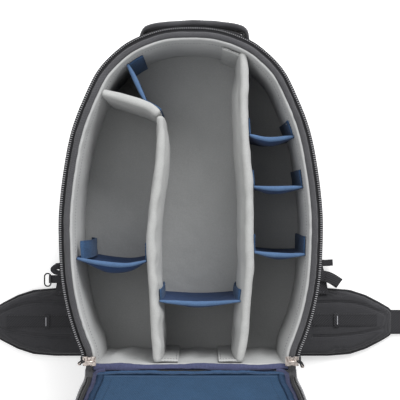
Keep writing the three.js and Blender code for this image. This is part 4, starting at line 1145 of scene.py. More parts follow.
class Bench:
    """Models small hard pieces with Blender's own tools."""

    @staticmethod
    def applied(name: str) -> Piece:
        """Names the primitive that was just added and puts its place and size in its mesh."""
        bpy.ops.object.transform_apply(location=True, rotation=True, scale=True)
        piece = bpy.context.active_object
        piece.name = piece.data.name = name
        return piece

    @staticmethod
    def block(name: str, middle: Vector, size: Sequence[float]) -> Piece:
        """Adds a block at its place and size."""
        bpy.ops.object.select_all(action="DESELECT")
        bpy.ops.mesh.primitive_cube_add(size=1, location=middle, scale=tuple(size))
        return Bench.applied(name)

    @staticmethod
    def rod(name: str, middle: Vector, radius: float, depth: float) -> Piece:
        """Adds a short upright rod with soft edges."""
        bpy.ops.object.select_all(action="DESELECT")
        bpy.ops.mesh.primitive_cylinder_add(vertices=20, radius=radius, depth=depth, location=middle)
        rod = Bench.applied(name)
        Bench.bevel_edges(rod, lambda a, b: abs(a.z - b.z) < 1e-6, depth * 0.2, 2)
        return rod

    @staticmethod
    def hoop(name: str, middle: Vector, major: float, minor: float) -> Piece:
        """Adds an upright hoop that stands along X."""
        bpy.ops.object.select_all(action="DESELECT")
        bpy.ops.mesh.primitive_torus_add(
            major_segments=28, minor_segments=10, major_radius=major, minor_radius=minor,
            location=middle, rotation=(math.pi / 2, 0, 0),
        )
        return Bench.applied(name)

    @staticmethod
    def stretch(piece: Piece, middle: Vector, size: Sequence[float]) -> None:
        """Stretches a piece about a point."""
        piece.data.transform(Matrix.Translation(middle) @ Matrix.Diagonal((*size, 1)) @ Matrix.Translation(-middle))

    @staticmethod
    def edit(piece: Piece) -> bmesh.types.BMesh:
        """Opens a piece in edit mode with nothing selected."""
        choose(piece)
        bpy.ops.object.mode_set(mode="EDIT")
        bpy.ops.mesh.select_mode(type="EDGE")
        bpy.ops.mesh.select_all(action="DESELECT")
        return bmesh.from_edit_mesh(piece.data)

    @staticmethod
    def close() -> None:
        """Leaves edit mode."""
        bpy.ops.object.mode_set(mode="OBJECT")

    @staticmethod
    def bevel_edges(piece: Piece, test: Callable[[Vector, Vector], bool], width: float, segments: int) -> None:
        """Bevels the edges whose two ends pass a test."""
        work = Bench.edit(piece)
        for edge in work.edges:
            if test(edge.verts[0].co, edge.verts[1].co):
                edge.select_set(True)
        bmesh.update_edit_mesh(piece.data)
        bpy.ops.mesh.bevel(offset=width, segments=segments, affect="EDGES", clamp_overlap=True)
        Bench.close()

    @staticmethod
    def face_towards(piece: Piece, way: Vector) -> bmesh.types.BMesh:
        """Opens a piece and selects its outermost face that looks one way."""
        Bench.edit(piece)
        bpy.ops.mesh.select_mode(type="FACE")
        work = bmesh.from_edit_mesh(piece.data)
        facing = [face for face in work.faces if face.normal.dot(way) > 0.99]
        best = max(facing, key=lambda face: (round(face.calc_center_median().dot(way), 6), face.calc_area()))
        best.select_set(True)
        work.faces.active = best
        bmesh.update_edit_mesh(piece.data)
        return work

    @staticmethod
    def press_face(piece: Piece, way: Vector, margin: float, depth: float) -> None:
        """Insets the face that looks one way and moves it along that way."""
        Bench.face_towards(piece, way)
        bpy.ops.mesh.inset(thickness=margin, depth=0)
        bpy.ops.mesh.extrude_region_move(TRANSFORM_OT_translate={"value": tuple(way * depth)})
        Bench.close()

    @staticmethod
    def draw_out(piece: Piece, way: Vector, length: float, size: Sequence[float] = (1, 1, 1)) -> None:
        """Extrudes the face that looks one way and resizes its end."""
        Bench.face_towards(piece, way)
        bpy.ops.mesh.extrude_region_move(TRANSFORM_OT_translate={"value": tuple(way * length)})
        bpy.ops.transform.resize(value=tuple(size))
        Bench.close()

    @staticmethod
    def cut(piece: Piece, tool: Piece) -> None:
        """Takes one piece's shape out of another."""
        choose(piece)
        modifier = piece.modifiers.new("Cut", "BOOLEAN")
        modifier.operation, modifier.object, modifier.solver = "DIFFERENCE", tool, "EXACT"
        bpy.ops.object.modifier_apply(modifier=modifier.name)
        bpy.data.objects.remove(tool)

    @staticmethod
    def join(piece: Piece, others: Sequence[Piece]) -> None:
        """Joins pieces into the first one."""
        choose(piece)
        for other in others:
            other.select_set(True)
        bpy.context.view_layer.objects.active = piece
        bpy.ops.object.join()


# ---- dividers


GREY_ROUTES = {
    "divider_long_left": (
        (-0.2325, 0.2505), (-0.234, 0.173), (-0.244, 0.097), (-0.29, -0.038), (-0.303, -0.097),
        (-0.302, -0.179), (-0.28, -0.328), (-0.264, -0.419), (-0.244, -0.49),
    ),
    "divider_long_right": (
        (0.375, 0.475), (0.406, 0.375), (0.404, 0.284), (0.422, 0.144), (0.446, 0.033),
        (0.449, -0.12), (0.45, -0.208), (0.429, -0.3), (0.4, -0.41), (0.362, -0.49),
    ),
    "divider_grey_slant": (
        (-0.78, 0.318), (-0.582, 0.301), (-0.453, 0.287), (-0.325, 0.268), (-0.232, 0.242),
    ),
}
# How long each grey divider's two ends are, and how far its two sides bulge, in millimetres.
GREY_SHAPES = {
    "divider_long_left": ((3.5, 6.0), (0.0, 4.5)),
    "divider_long_right": ((5.0, 6.0), (7.0, 0.0)),
    "divider_grey_slant": ((2.0, 2.0), (4.5, 0.0)),
}
BLUE_ROUTES = {
    "divider_blue_slant": ((-0.53, 0.425), (-0.448, 0.367), (-0.398, 0.326), (-0.325, 0.268)),
    "divider_blue_left": (
        (-0.95, -0.17), (-0.721, -0.188), (-0.571, -0.195), (-0.467, -0.194), (-0.302, -0.178),
    ),
    "divider_blue_middle": ((-0.284, -0.3), (0.072, -0.309), (0.43, -0.3)),
    "divider_blue_right_top": ((0.42, 0.193), (0.548, 0.179), (0.626, 0.176), (0.88, 0.19)),
    "divider_blue_right_mid": ((0.447, 0.037), (0.656, 0.031), (0.95, 0.038)),
    "divider_blue_right_low": ((0.45, -0.155), (0.687, -0.166), (0.95, -0.162)),
}

# How far some blue dividers' walls and tabs stand out, and how long some tabs are, in millimetres.
WALL_BELLY = 5.0
WALL_BELLIES = {"divider_blue_left": 12.0, "divider_blue_slant": 0.5}
TAB_LEANS = {"divider_blue_left_tab_1": 19.0, "divider_blue_slant_tab_1": 3.0}
TAB_LENGTHS = {"divider_blue_middle_tab_1": 17.0, "divider_blue_middle_tab_2": 18.0}


def bag_route(shares: Sequence[tuple], count: int = 200) -> Array:
    """Turns shares of half the width and of the length into a smooth level line."""
    return smooth_route([(across * HALF_WIDTH, up * BAG_LENGTH) for across, up in shares], count)[:, :2]


class Dividers:
    """The padded walls that part the inside of the bag."""

    into_lip = -5.4

    def __init__(self) -> None:
        """Draws all routes and clips them to the room inside."""
        self.grey = {name: self.clip(bag_route(shares), self.into_lip) for name, shares in GREY_ROUTES.items()}
        slant = self.grey["divider_grey_slant"]
        self.grey["divider_grey_slant"] = self.apart(slant, self.grey["divider_long_left"], 1.6)
        self.sewn_grey = Stitches()
        self.sewn_blue = Stitches()

    @staticmethod
    def clip(line: Array, margin: float = 0.8) -> Array:
        """Keeps the part of a line inside the lining."""
        side = RIM.side(LINING_IN + margin, 0.0, 400)
        reach = np.interp(line[:, 1], side[:, 1], side[:, 0], right=0.0)
        inside = (np.abs(line[:, 0]) < reach) & (line[:, 1] > BAG_FOOT + FOOT_IN + max(margin, -2.6))
        return line[inside]

    @staticmethod
    def apart(line: Array, other: Array, gap: float = GREY_HALF + 0.4) -> Array:
        """Keeps the part of a line that is clear of another line."""
        near = np.min(norm(line[:, None] - other[None], axis=2), axis=1)
        return line[near > gap]

    def build(self) -> None:
        """Builds all dividers."""
        for seed, (name, line) in enumerate(self.grey.items()):
            self.grey_wall(name, line, 41 + seed)
        self.grey_tabs()
        for seed, (name, shares) in enumerate(BLUE_ROUTES.items()):
            line = self.clip(bag_route(shares), 0.6)
            for host in self.grey.values():
                line = self.apart(line, host)
            self.blue_wall(name, line, 61 + seed)
        dress(self.sewn_grey.piece("divider_stitches"), THREAD_GREY, "lining_fabric")
        dress(self.sewn_blue.piece("tab_stitches"), THREAD_BLUE, "blue_fabric")

    def grey_wall(self, name: str, line: Array, seed: int) -> None:
        """Builds a grey divider with a pillow top and rounded ends."""
        count = int(norm(np.diff(line, axis=0), axis=1).sum() / 5)
        line = resample(line, count)
        path = raised(line, 0)
        length = norm(np.diff(line, axis=0), axis=1).sum()
        heights = np.concatenate([np.linspace(33.8, 170, 14), [175, 178.5]])
        tips, bulge = GREY_SHAPES[name]
        rows = []
        for i in range(len(line)):
            share = i / count
            end = min(share, 1 - share) * length
            slim = math.sqrt(max(1 - max(1 - (end + 0.4) / tips[i > count / 2], 0) ** 2, 0.02))
            reach = (GREY_HALF + 0.2 * math.sin(share * length / 17 + seed)) * slim
            full = slim * float(np.interp(share, (0, 0.12, 0.3, 0.6, 0.8, 1), (0.3, 0.9, 1, 0.9, 0.8, 0.7)))
            wavy = 0.0
            if name == "divider_long_left":
                fold = max(math.sin(share * length / 7.0 + 5.41), -0.4)
                wavy = 2.6 * float(np.interp(share, (0.3, 0.6, 0.75, 0.95, 1), (0.1, 0.4, 1, 1, 0))) * fold
            first = [(-reach * self.swell(z) - bulge[0] * full * self.belly(z), z) for z in heights]
            last = [
                (reach * self.swell(z) + bulge[1] * full * self.belly(z) + wavy * np.interp(z, (120, 165), (0, 1)), z)
                for z in heights
            ]
            top = []
            for a in np.radians(np.linspace(0, 180, 13)):
                n = -math.cos(a) * reach
                top.append((n + wavy * (n / reach + 1) / 2, 182 + math.sin(a) * (GREY_TOP - 182)))
            rows.append([*first, *top, *reversed(last)])
        wall = skin(f"{name}_pad", sweep_rows(path, np.array(rows)))
        move_corners(wall, self.draw_back)
        hold = lambda p: ramp(p[:, 2], 60, 35)
        Padding.swell(wall, 1.6, 2.5, hold)
        soften(wall, 34, 0.7, seed, lambda p: ramp(p[:, 2], 40, 70))
        soften(wall, 12, 0.22, seed + 9)
        finer(wall)
        dress(wall, DIVIDER_GREY, "lining_fabric", name)

    @staticmethod
    def draw_back(corners: Array, normals: Array) -> Array:
        """Draws a divider's ends back below their tops, where the lining swells in."""
        moved = corners.copy()
        low = np.interp(corners[:, 2], (150, 184), (7, 0))
        moved[:, 1] -= low * ramp(corners[:, 1], 186, 198)
        moved[:, 1] += low * 0.3 * ramp(corners[:, 1], BAG_FOOT + 14, BAG_FOOT + 6)
        moved[:, 0] += low * ramp(corners[:, 0], -122, -130)
        return moved

    @staticmethod
    def belly(z: float) -> float:
        """Gives how much of a divider's bulge shows at a height."""
        return float(np.interp(z, (33, 70, 120, 155, 170, 178.5), (0.4, 0.9, 1.0, 0.8, 0.5, 0.15)))

    @staticmethod
    def swell(z: float) -> float:
        """Gives a divider's share of its half thickness at a height."""
        return float(np.interp(z, (33, 60, 120, 170, 178.5), (0.86, 0.95, 1.0, 0.98, 0.95)))

    @classmethod
    def leaning(cls, z: float, lean: float) -> float:
        """Gives how far a leaning sheet stands out at a height."""
        return lean * cls.belly(z)

    def sheet(self, name: str, line: Array, thick: float, top: float, seed: int, lean: float = 0.0) -> Piece:
        """Builds a thin upright piece along a level line.

        Args:
            name: The piece's name.
            line: The middle of the piece in plan.
            thick: Its thickness.
            top: The height of its top.
            seed: Picks its folds.
            lean: How far its foot stands out to its left.

        Returns:
            The piece.
        """
        path = raised(resample(line, 16), 0)
        heights = [34, 70, 110, 140, 156, 168, top - 2]
        half = thick / 2
        section = [(-half, z) for z in heights]
        section += [(-half * 0.7, top - 0.6), (0, top), (half * 0.7, top - 0.6)]
        section += [(half, z) for z in reversed(heights)]
        section = [(n + self.leaning(z, lean), z) for n, z in section]
        piece = skin(name, sweep_rows(path, np.array(section)))
        soften(piece, 16, 0.45, seed)
        return piece

    def grey_tabs(self) -> None:
        """Builds the pale tabs that hold the long dividers' ends to the lining."""
        foot_y = BAG_FOOT + FOOT_IN + 2.6
        left_x = self.grey["divider_long_left"][-1][0]
        right_x = self.grey["divider_long_right"][-1][0]
        tabs = {
            "divider_tab_foot_left": [(left_x - 2, foot_y), (left_x + 7, foot_y + 0.6), (-17.6, foot_y)],
            "divider_tab_foot_right": [(39, foot_y), (right_x - 7, foot_y + 0.4), (right_x + 2, foot_y)],
        }
        for seed, (name, points) in enumerate(tabs.items()):
            line = smooth_route(points, 30)[:, :2]
            tab = self.sheet(name, line, 3.6, GREY_TOP - 4, 51 + seed)
            dress(tab, DIVIDER_GREY, "lining_fabric")
            inner = line + (0, 2.2)
            self.sewn_grey.run(raised(inner, 178.5), (0, 1, 0), 2.4, 1.2, 0.8, 0.6)
            edge = inner[3] if seed else inner[-4]
            upright = np.array([(edge[0], edge[1], z) for z in np.linspace(100, 178, 40)])
            self.sewn_grey.run(upright, (0, 1, 0), 2.4, 1.2, 0.8, 0.6)
            self.sewn_grey.run(raised(line, GREY_TOP - 3.6), (0, 0, 1), 2.4, 1.2, 0.8, 0.4)
        side = RIM.side(LINING_IN + 3.0, 0.0, 400)
        head = side[(side[:, 0] < 72) & (side[:, 0] > 43)]
        tab = self.sheet("divider_tab_head_right", head, 3.6, GREY_TOP - 4, 55)
        dress(tab, DIVIDER_GREY, "lining_fabric")
        self.sewn_grey.run(raised(head, GREY_TOP - 3.6), (0, 0, 1), 2.4, 1.2, 0.8, 0.4)

    def blue_wall(self, name: str, line: Array, seed: int) -> None:
        """Builds a blue divider: its navy wall, its steel-blue edge and its two tabs."""
        length = float(norm(np.diff(line, axis=0), axis=1).sum())
        count = max(int(length / 4), 8)
        line = resample(line, count)
        path = raised(line, 0)
        heights = np.linspace(33.8, 174, 15)
        belly = WALL_BELLIES.get(name, WALL_BELLY)
        rows, edges = [], []
        for i in range(count + 1):
            middle = math.sin(math.pi * i / count)
            half = 2.1 + 0.9 * middle
            crest = 1.6 + 2.0 * middle**0.8
            sag = np.interp(heights, (60, 110, 148, 164, 174), (0, 0.7, 1, 0.7, 0.3))
            push = -belly * middle**1.3 * sag
            low = [(-half + p, z) for p, z in zip(push, heights)]
            high = [(half + p, z) for p, z in zip(push, heights)]
            rows.append([*low, (-crest * 0.8, 177), (crest * 0.8, 177), *reversed(high)])
            turns = np.radians(np.arange(0, 360, 30))
            edges.append([(math.cos(a) * crest, 177.4 + math.sin(a) * 2.6) for a in turns])
        wall = skin(f"{name}_wall", sweep_rows(path, np.array(rows)))
        free = lambda p: ramp(p[:, 2], 40, 70) * np.maximum(ramp(p[:, 2], 176, 156), 0.2)
        soften(wall, 30, 0.8, seed, free)
        if name == "divider_blue_middle":
            move_corners(wall, lambda corners, normals: self.draw_ends(corners, line[0][0], line[-1][0]))
        dress(wall, NAVY, "blue_fabric", name)
        edge = skin(f"{name}_edge", sweep_rows(path, np.array(edges)))
        soften(edge, 18, 0.35, seed + 7)
        finer(edge)
        dress(edge, STEEL_BLUE, "blue_fabric")
        for number, end in enumerate((line[0], line[-1])):
            self.blue_tab(f"{name}_tab_{number + 1}", end, seed * 3 + number)

    def draw_ends(self, corners: Array, left: float, right: float) -> Array:
        """Draws the middle blue divider's ends in where its neighbours bulge."""
        moved = corners.copy()
        share = np.array([self.belly(z) for z in corners[:, 2]])
        bulge_left = GREY_SHAPES["divider_long_left"][1][1]
        bulge_right = GREY_SHAPES["divider_long_right"][1][0]
        moved[:, 0] += bulge_left * share * ramp(corners[:, 0], left + 24, left)
        moved[:, 0] -= bulge_right * share * ramp(corners[:, 0], right - 24, right)
        return moved

    def blue_tab(self, name: str, end: Array, seed: int) -> None:
        """Builds the tab that turns up from a blue divider's end along what carries it."""
        best, best_gap = None, 1e9
        hosts = [(line, GREY_HALF + 1.9, GREY_SHAPES[host][1]) for host, line in self.grey.items()]
        side = RIM.side(LINING_IN, 0.0, 600)
        hosts += [(side, 2.2, (0, 0)), (side * (-1, 1), 2.2, (0, 0))]
        for line, offset, sides in hosts:
            gap = float(np.min(norm(line - end, axis=1)))
            if gap < best_gap:
                best, best_gap, away, bulge = line, gap, offset, sides
        near = int(np.argmin(norm(best - end, axis=1)))
        along = unit(np.gradient(best, axis=0))
        normal = np.stack([-along[:, 1], along[:, 0]], axis=1)
        sign = 1.0 if float(np.dot(end - best[near], normal[near])) > 0 else -1.0
        face = best + normal * sign * away
        length = np.concatenate([[0], np.cumsum(norm(np.diff(face, axis=0), axis=1))])
        upwards = along[near][0] if "slant_tab_2" in name else along[near][1]
        towards = 1.0 if upwards > 0 else -1.0
        from_end = (length - length[near]) * towards
        part = face[(from_end > -1.5) & (from_end < TAB_LENGTHS.get(name, TAB_LENGTH))]
        if len(part) < 3:
            return
        lean = sign * (TAB_LEANS.get(name, 0.0) + bulge[1 if sign > 0 else 0])
        tab = self.sheet(name, part, 2.4, BLUE_TOP - 4, seed, lean)
        dress(tab, DENIM, "blue_fabric")
        line = resample(part, 20)
        facing = unit(np.gradient(line, axis=0))
        out = np.stack([-facing[:, 1], facing[:, 0]], axis=1) * sign
        out3 = np.column_stack([out, np.zeros(len(out))])
        self.sewn_blue.run(raised(line + out * (1.3 + abs(self.leaning(171, lean))), 171), out3, 2.4, 1.2, 0.8, 0.5)
        edge = line[-2] if towards > 0 else line[1]
        way = out[-2] if towards > 0 else out[1]
        upright = np.array([
            (*(edge + way * (1.3 + abs(self.leaning(z, lean)))), z) for z in np.linspace(110, 170, 30)
        ])
        self.sewn_blue.run(upright, (*way, 0), 2.4, 1.2, 0.8, 0.5)


# ---- lid


@dataclass
class Lid:
    """The lid that hangs from the foot and comes to lie on the surface."""

    depth: float = 24.0
    slope: float = math.radians(38)
    bend: float = 150.0
    floor: float = 8.0
    wall: float = 5.0
    pocket_margin: float = 11.0
    pocket_foot: float = 19.0

    def place(self, points: Array) -> Array:
        """Bends flat lid places, with Y along the bag and Z the height, into the frame."""
        points = np.asarray(points, float)
        along = points[..., 1] - BAG_FOOT
        height = points[..., 2]
        sin, cos = math.sin(self.slope), math.cos(self.slope)
        down = RIM_Z - self.depth * cos - self.bend * (1 - cos)
        sloped_length = down / sin
        bend_length = self.bend * self.slope
        bent = np.clip(along - sloped_length, 0, bend_length)
        sloped = np.minimum(along, sloped_length)
        level = np.maximum(along - sloped_length - bend_length, 0)
        angle = self.slope - bent / self.bend
        start_y = BAG_FOOT - 0.3 + self.depth * sin
        start_z = RIM_Z - self.depth * cos
        y = sloped * cos + self.bend * (sin - np.sin(angle)) + level
        z = sloped * sin + self.bend * (np.cos(angle) - cos)
        bag = np.stack(
            [points[..., 0], start_y - y - height * np.sin(angle), start_z - z + height * np.cos(angle)],
            axis=-1,
        )
        bag[..., 1] = np.minimum(bag[..., 1], BAG_FOOT - 0.3)
        return row_place(bag)

    def build(self) -> None:
        """Builds the lid's pieces."""
        self.shell()
        self.lining()
        self.binding()
        self.hinge()
        self.zip()

    def shell(self) -> None:
        """Builds the outer tray."""
        levels = [
            (ZIP_REACH + 14, 0, 0), (ZIP_REACH + 6, 0, 0.4), (ZIP_REACH + 2, 0, 2), (ZIP_REACH + 0.4, 0, 5),
            (ZIP_REACH - 0.6, 0, 10), (ZIP_REACH - 0.6, 0, 16), (ZIP_REACH, 0, 21), (ZIP_REACH + 0.5, 0, self.depth),
            (ZIP_REACH + 4.5, 4.5, self.depth), (ZIP_REACH + 5, 5, 20), (ZIP_REACH + 5, 5, self.floor),
        ]
        tray = slab("lid_tray", levels, count=72, across=30, place=self.place)
        dress(tray, SHELL, "shell_fabric", "lid_shell")
        cord = raised(RIM.strip(ZIP_REACH + 3.5, 1.5, 150), 1.6)
        piping = skin("lid_piping", sweep_rows(cord, oval(3.6, 3.6, 2, 8)), place=self.place)
        dress(piping, PIPING, "shell_fabric")

    def lining(self) -> None:
        """Builds the padded blue panel with its seam."""
        inset = ZIP_REACH + self.wall + 0.3 + 5.5 + 0.3
        levels = [
            (inset, 5.3, self.floor + 0.3), (inset, 5.3, self.floor + 3.2), (inset + 2, 7.3, self.floor + 5),
            (inset + 5, 10.3, self.floor + 5.6), (inset + 8, 13.3, self.floor + 5.2),
            (inset + 10, 15.3, self.floor + 4.6),
            (inset + 13, 18.3, self.floor + 5.4), (inset + 18, 23.3, self.floor + 6),
        ]
        crown = lambda x, y: 0.5 * math.sin(x / 23 + 1.3) * math.sin(y / 31)
        pad = slab("lid_panel", levels, (None, crown), 72, 34, self.place)
        dress(pad, LID_BLUE, "lid_fabric", "lid_lining")
        sewn = Stitches()
        seam = RIM.loop(inset + 10, 15.3, 220, 90)
        sewn.run(raised(np.vstack([seam, seam[:1]]), self.floor + 5.0))
        sewn.run(raised(RIM.strip(inset + 21.6, 26, 220), self.floor + 7.6))
        dress(sewn.piece("lid_stitches", self.place), THREAD_BLUE, "lid_fabric")
        self.pocket(inset + self.pocket_margin)

    def pocket(self, inset: float) -> None:
        """Builds a flat pocket on the lining, with a bound opening near the hinge."""
        base = self.floor + 5.4
        foot = self.pocket_foot
        levels = [(inset, foot, base), (inset, foot, base + 1.6), (inset + 1.2, foot + 1.2, base + 2)]
        crown = lambda x, y: 0.9 * math.sin((y - BAG_FOOT) / 62) ** 2 * math.cos(x / 105) ** 2
        pocket = slab("lid_pocket", levels, (None, crown), 66, 30, self.place)
        dress(pocket, POCKET_BLUE, "lid_fabric")
        row = RIM.side(inset, foot, 10)[0]
        x = np.linspace(-row[0], row[0], 110)
        lift = base + 2.0 + 0.8 * np.cos(x / 105) ** 2
        path = np.column_stack([x, np.full(110, row[1] + 1.0), lift])
        hem = skin("lid_pocket_hem", sweep_rows(path, oval(4, 2.2, 3, 12)), place=self.place)
        soften(hem, 12, 0.3, 77)
        dress(hem, HEM_BLUE, "lid_fabric")

    def binding(self) -> None:
        """Builds the purple binding inside the lid's wall."""
        outer, inner = 10.3, 15.9
        section = [(outer, self.floor + 0.3), (outer, 14), (outer, 20)]
        middle, half = (outer + inner) / 2, (inner - outer) / 2
        for angle in np.radians(np.linspace(180, 0, 8)):
            section.append((middle + math.cos(angle) * half, 21.6 + 2.6 * math.sin(angle)))
        section += [(inner, 19), (inner - 0.6, 16), (inner, 12), (inner, self.floor + 0.3)]
        roll = skin("lid_roll", strip_rows(section, 5.3, 230), place=self.place)
        soften(roll, 9, 0.5, 71)
        soften(roll, 30, 0.6, 72)
        dress(roll, PURPLE, "purple_binding", "lid_binding")

    def hinge(self) -> None:
        """Builds the wavy strip over the foot wall."""
        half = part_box("hinge_strip")[1].x / MM - 7
        inner = BAG_FOOT + FOOT_IN
        rows, seam = [], []
        for x in np.linspace(-half, half, 130):
            wave = 0.9 * math.sin(x / 21 + 0.6) + 0.4 * math.sin(x / 8.3)
            low_wave = 0.5 + 1.3 * math.sin(x / 26 + 2.2) + 0.35 * math.sin(x / 6.1)
            lift = 0.4 * math.sin(x / 13)
            lip = BAG_FOOT + 0.3 + low_wave
            profile = [
                (inner - 0.4 + wave, 188.2), (inner + wave, 190.4 + lift), (inner - 1.2 + wave, 192.4 + lift),
                (inner - 3.6 + wave * 0.6, 193.6 + lift), (BAG_FOOT + 2.4, 193.8 + lift), (lip + 0.8, 192.9),
                (lip - 0.3, 191.4), (lip - 0.2, 190.2), (BAG_FOOT + 1.6, 190.4), (BAG_FOOT + 1.8, 189.4),
                (BAG_FOOT + 2.0, 188.2),
            ]
            rows.append([(x, y, z) for y, z in profile])
            seam.append((x, lip - 0.9 + 0.5 * math.sin(x / 9.7), 190.6))
        strip = skin("hinge_roll", np.array(rows))
        soften(strip, 8, 0.35, 73)
        dress(strip, PURPLE, "purple_binding", "hinge_strip")
        # A dark cord along the hinge's lip: a puckered seam, partly painted shade in the gap next to it.
        cord = skin("hinge_seam_and_shade", sweep_rows(np.array(seam), oval(2.8, 2.8, 2, 8)))
        soften(cord, 5, 0.3, 74)
        dress(cord, SEAM_SHADE_BLUE, "purple_binding")
        x = np.linspace(-half + 4, half - 4, 120)
        along = BAG_FOOT + 3.9 + 0.9 * np.sin(x / 19 + 2) + 0.4 * np.sin(x / 7)
        head = skin(
            "lid_head_roll",
            sweep_rows(np.column_stack([x, along, np.full(120, self.depth + 0.3)]), oval(5.6, 2.8, 2.4, 12)),
            place=self.place,
        )
        soften(head, 9, 0.4, 78)
        dress(head, LID_BLUE, "lid_fabric")
        for side, sign in (("right", 1), ("left", -1)):
            start = ((118, BAG_FOOT + 0.6, 191.6), (125, BAG_FOOT - 0.2, 191.2), (130.5, BAG_FOOT - 3.0, 189.2))
            flat = np.array([(133.2 + 0.004 * s * s, BAG_FOOT + s, 22.6) for s in (14, 20, 26)])
            bag = bag_place(self.place(flat))
            path = smooth_route([(x * sign, y, z) for x, y, z in [*start, *map(tuple, bag)]], 24)
            corner = skin(f"hinge_corner_{side}", sweep_rows(path, oval(5.6, 5.0, 2.3, 12)))
            soften(corner, 7, 0.35, 75)
            dress(corner, PURPLE, "purple_binding")
            over = ((139.5, -226, 189.6), (140, -233, 190.2), (140.5, -239, 188), (141, -247, 181.5))
            gusset = smooth_route([(x * sign, y, z) for x, y, z in over], 20)
            cover = skin(f"hinge_gusset_{side}", sweep_rows(gusset, oval(10.5, 3.0, 4, 14)))
            soften(cover, 9, 0.35, 76)
            dress(cover, RIM_RIB, "binding_fabric")

    def zip(self) -> None:
        """Builds the zip's other half on the lid's edge."""
        path = raised(RIM.strip(1.9, 6.0, 400), 19.2)
        teeth = Zip().teeth("zip_teeth_lid", path, self.place)
        dress(teeth, TEETH, "zip_teeth", "zip_chain_lid")
        section = [(4.7, 9), (3.6, 9.3), (3.4, 17), (2.2, 17.6), (2.2, 19.8), (4.9, 20.3)]
        tape = skin("zip_tape_lid", strip_rows(section, 6.0, 160), place=self.place)
        dress(tape, TAPE, "binding_fabric")


# ---- handle, harness and belt


HANDLE_STATIONS = (
    (-1, -1.9), (-0.99, -0.24), (-0.93, 0.33), (-0.76, 0.67), (-0.38, 0.88), (0, 1),
    (0.38, 0.88), (0.76, 0.67), (0.93, 0.33), (0.99, -0.24), (1, -1.9),
)


@dataclass
class Handle:
    """The padded carry handle at the bag's top."""

    off_centre: float = 4.5
    span: float = 152.0
    reach: float = 14.8
    thick: float = 9.0
    width: float = 38.0
    top: float = 148.0

    def build(self) -> None:
        """Builds the handle and its stitches."""
        points = [(self.off_centre + a * self.span / 2, BAG_TOP + o * self.reach) for a, o in HANDLE_STATIONS]
        line = smooth_route(points, 200)[:, :2]
        side = RIM.side(ZIP_REACH - 3.0, 0.0, 500)
        wall = np.interp(np.abs(line[:, 0]), side[::-1, 0], side[::-1, 1])
        line = resample(line[line[:, 1] > wall - 4], 60)
        middle = self.top - self.width / 2
        path = raised(line, middle)
        sections = []
        for i in range(len(line)):
            share = abs(i / (len(line) - 1) * 2 - 1)
            thin = np.interp(share, (0, 0.72, 0.8, 1), (1, 0.95, 0.55, 0.5))
            narrow = np.interp(share, (0, 0.7, 0.8, 1), (1, 1, 0.94, 0.92))
            sections.append(oval(self.thick * thin, self.width * narrow, 3.2, 24))
        strap = skin("handle_pad", sweep_rows(path, np.array(sections)))
        Padding.swell(strap, 1.2, 3.0)
        soften(strap, 30, 0.4, 81)
        finer(strap)
        # The handle takes the lighter copy of the padded nylon, painted light for its lit top.
        dress(strap, HANDLE_LIT_NYLON, "padded_fabric", "carry_handle")
        self.backing(line)
        along = unit(np.gradient(line, axis=0))
        out = np.stack([along[:, 1], -along[:, 0]], axis=1)
        if out[30][1] < 0:
            out = -out
        sewn = Stitches()
        for z in (middle - 15, middle + 15):
            ring = line + out * (self.thick / 2 * 0.92)
            sewn.run(raised(ring[6:-6], z), np.column_stack([out, np.zeros(len(out))])[6:-6], 3, 1.6)
        dress(sewn.piece("handle_stitches"), THREAD_GREY, "padded_fabric")

    def backing(self, line: Array) -> None:
        """Builds the webbing that backs the handle on the side of the bag."""
        wall = RIM.strip(ZIP_REACH - 4.2, 0.0, 700)
        inner = []
        for point in line[5:-5]:
            near = wall[int(np.argmin(norm(wall - point, axis=1)))]
            gap = point - near
            inner.append(near + gap * 0.44)
        inner = resample(np.array(inner), 50)
        reach = np.array([np.min(norm(wall - point, axis=1)) for point in inner])
        rows = [oval(min(max(r * 1.25, 2.4), 8.2), self.width - 8, 5, 16) for r in reach]
        web = skin("handle_backing", sweep_rows(raised(inner, self.top - self.width / 2), np.array(rows)))
        dress(web, WEBBING, "padded_fabric")


STRAP_STATIONS = ((0.2, 0.318), (0.3, 0.318), (0.46, 0.29), (0.61, 0.22), (0.66, 0.1), (0.64, -0.03), (0.62, -0.12))
WING_STATIONS = (
    (0, 0.95), (0.25, 1), (0.52, 1), (0.68, 0.95), (0.8, 0.8), (0.91, 0.58), (0.98, 0.42), (1, 0.36),
)


def rounded(x: float, y: float, width: float, length: float, corner: float) -> Array:
    """Draws a rounded rectangle in plan."""
    line = []
    for k in range(4):
        sx, sy = (1, 1, -1, -1)[k], (-1, 1, 1, -1)[k]
        for angle in np.radians(np.linspace(-90, 0, 8) + 90 * k):
            line.append((
                x + sx * (width / 2 - corner) + corner * math.cos(angle),
                y + sy * (length / 2 - corner) + corner * math.sin(angle),
            ))
    return np.array(line)


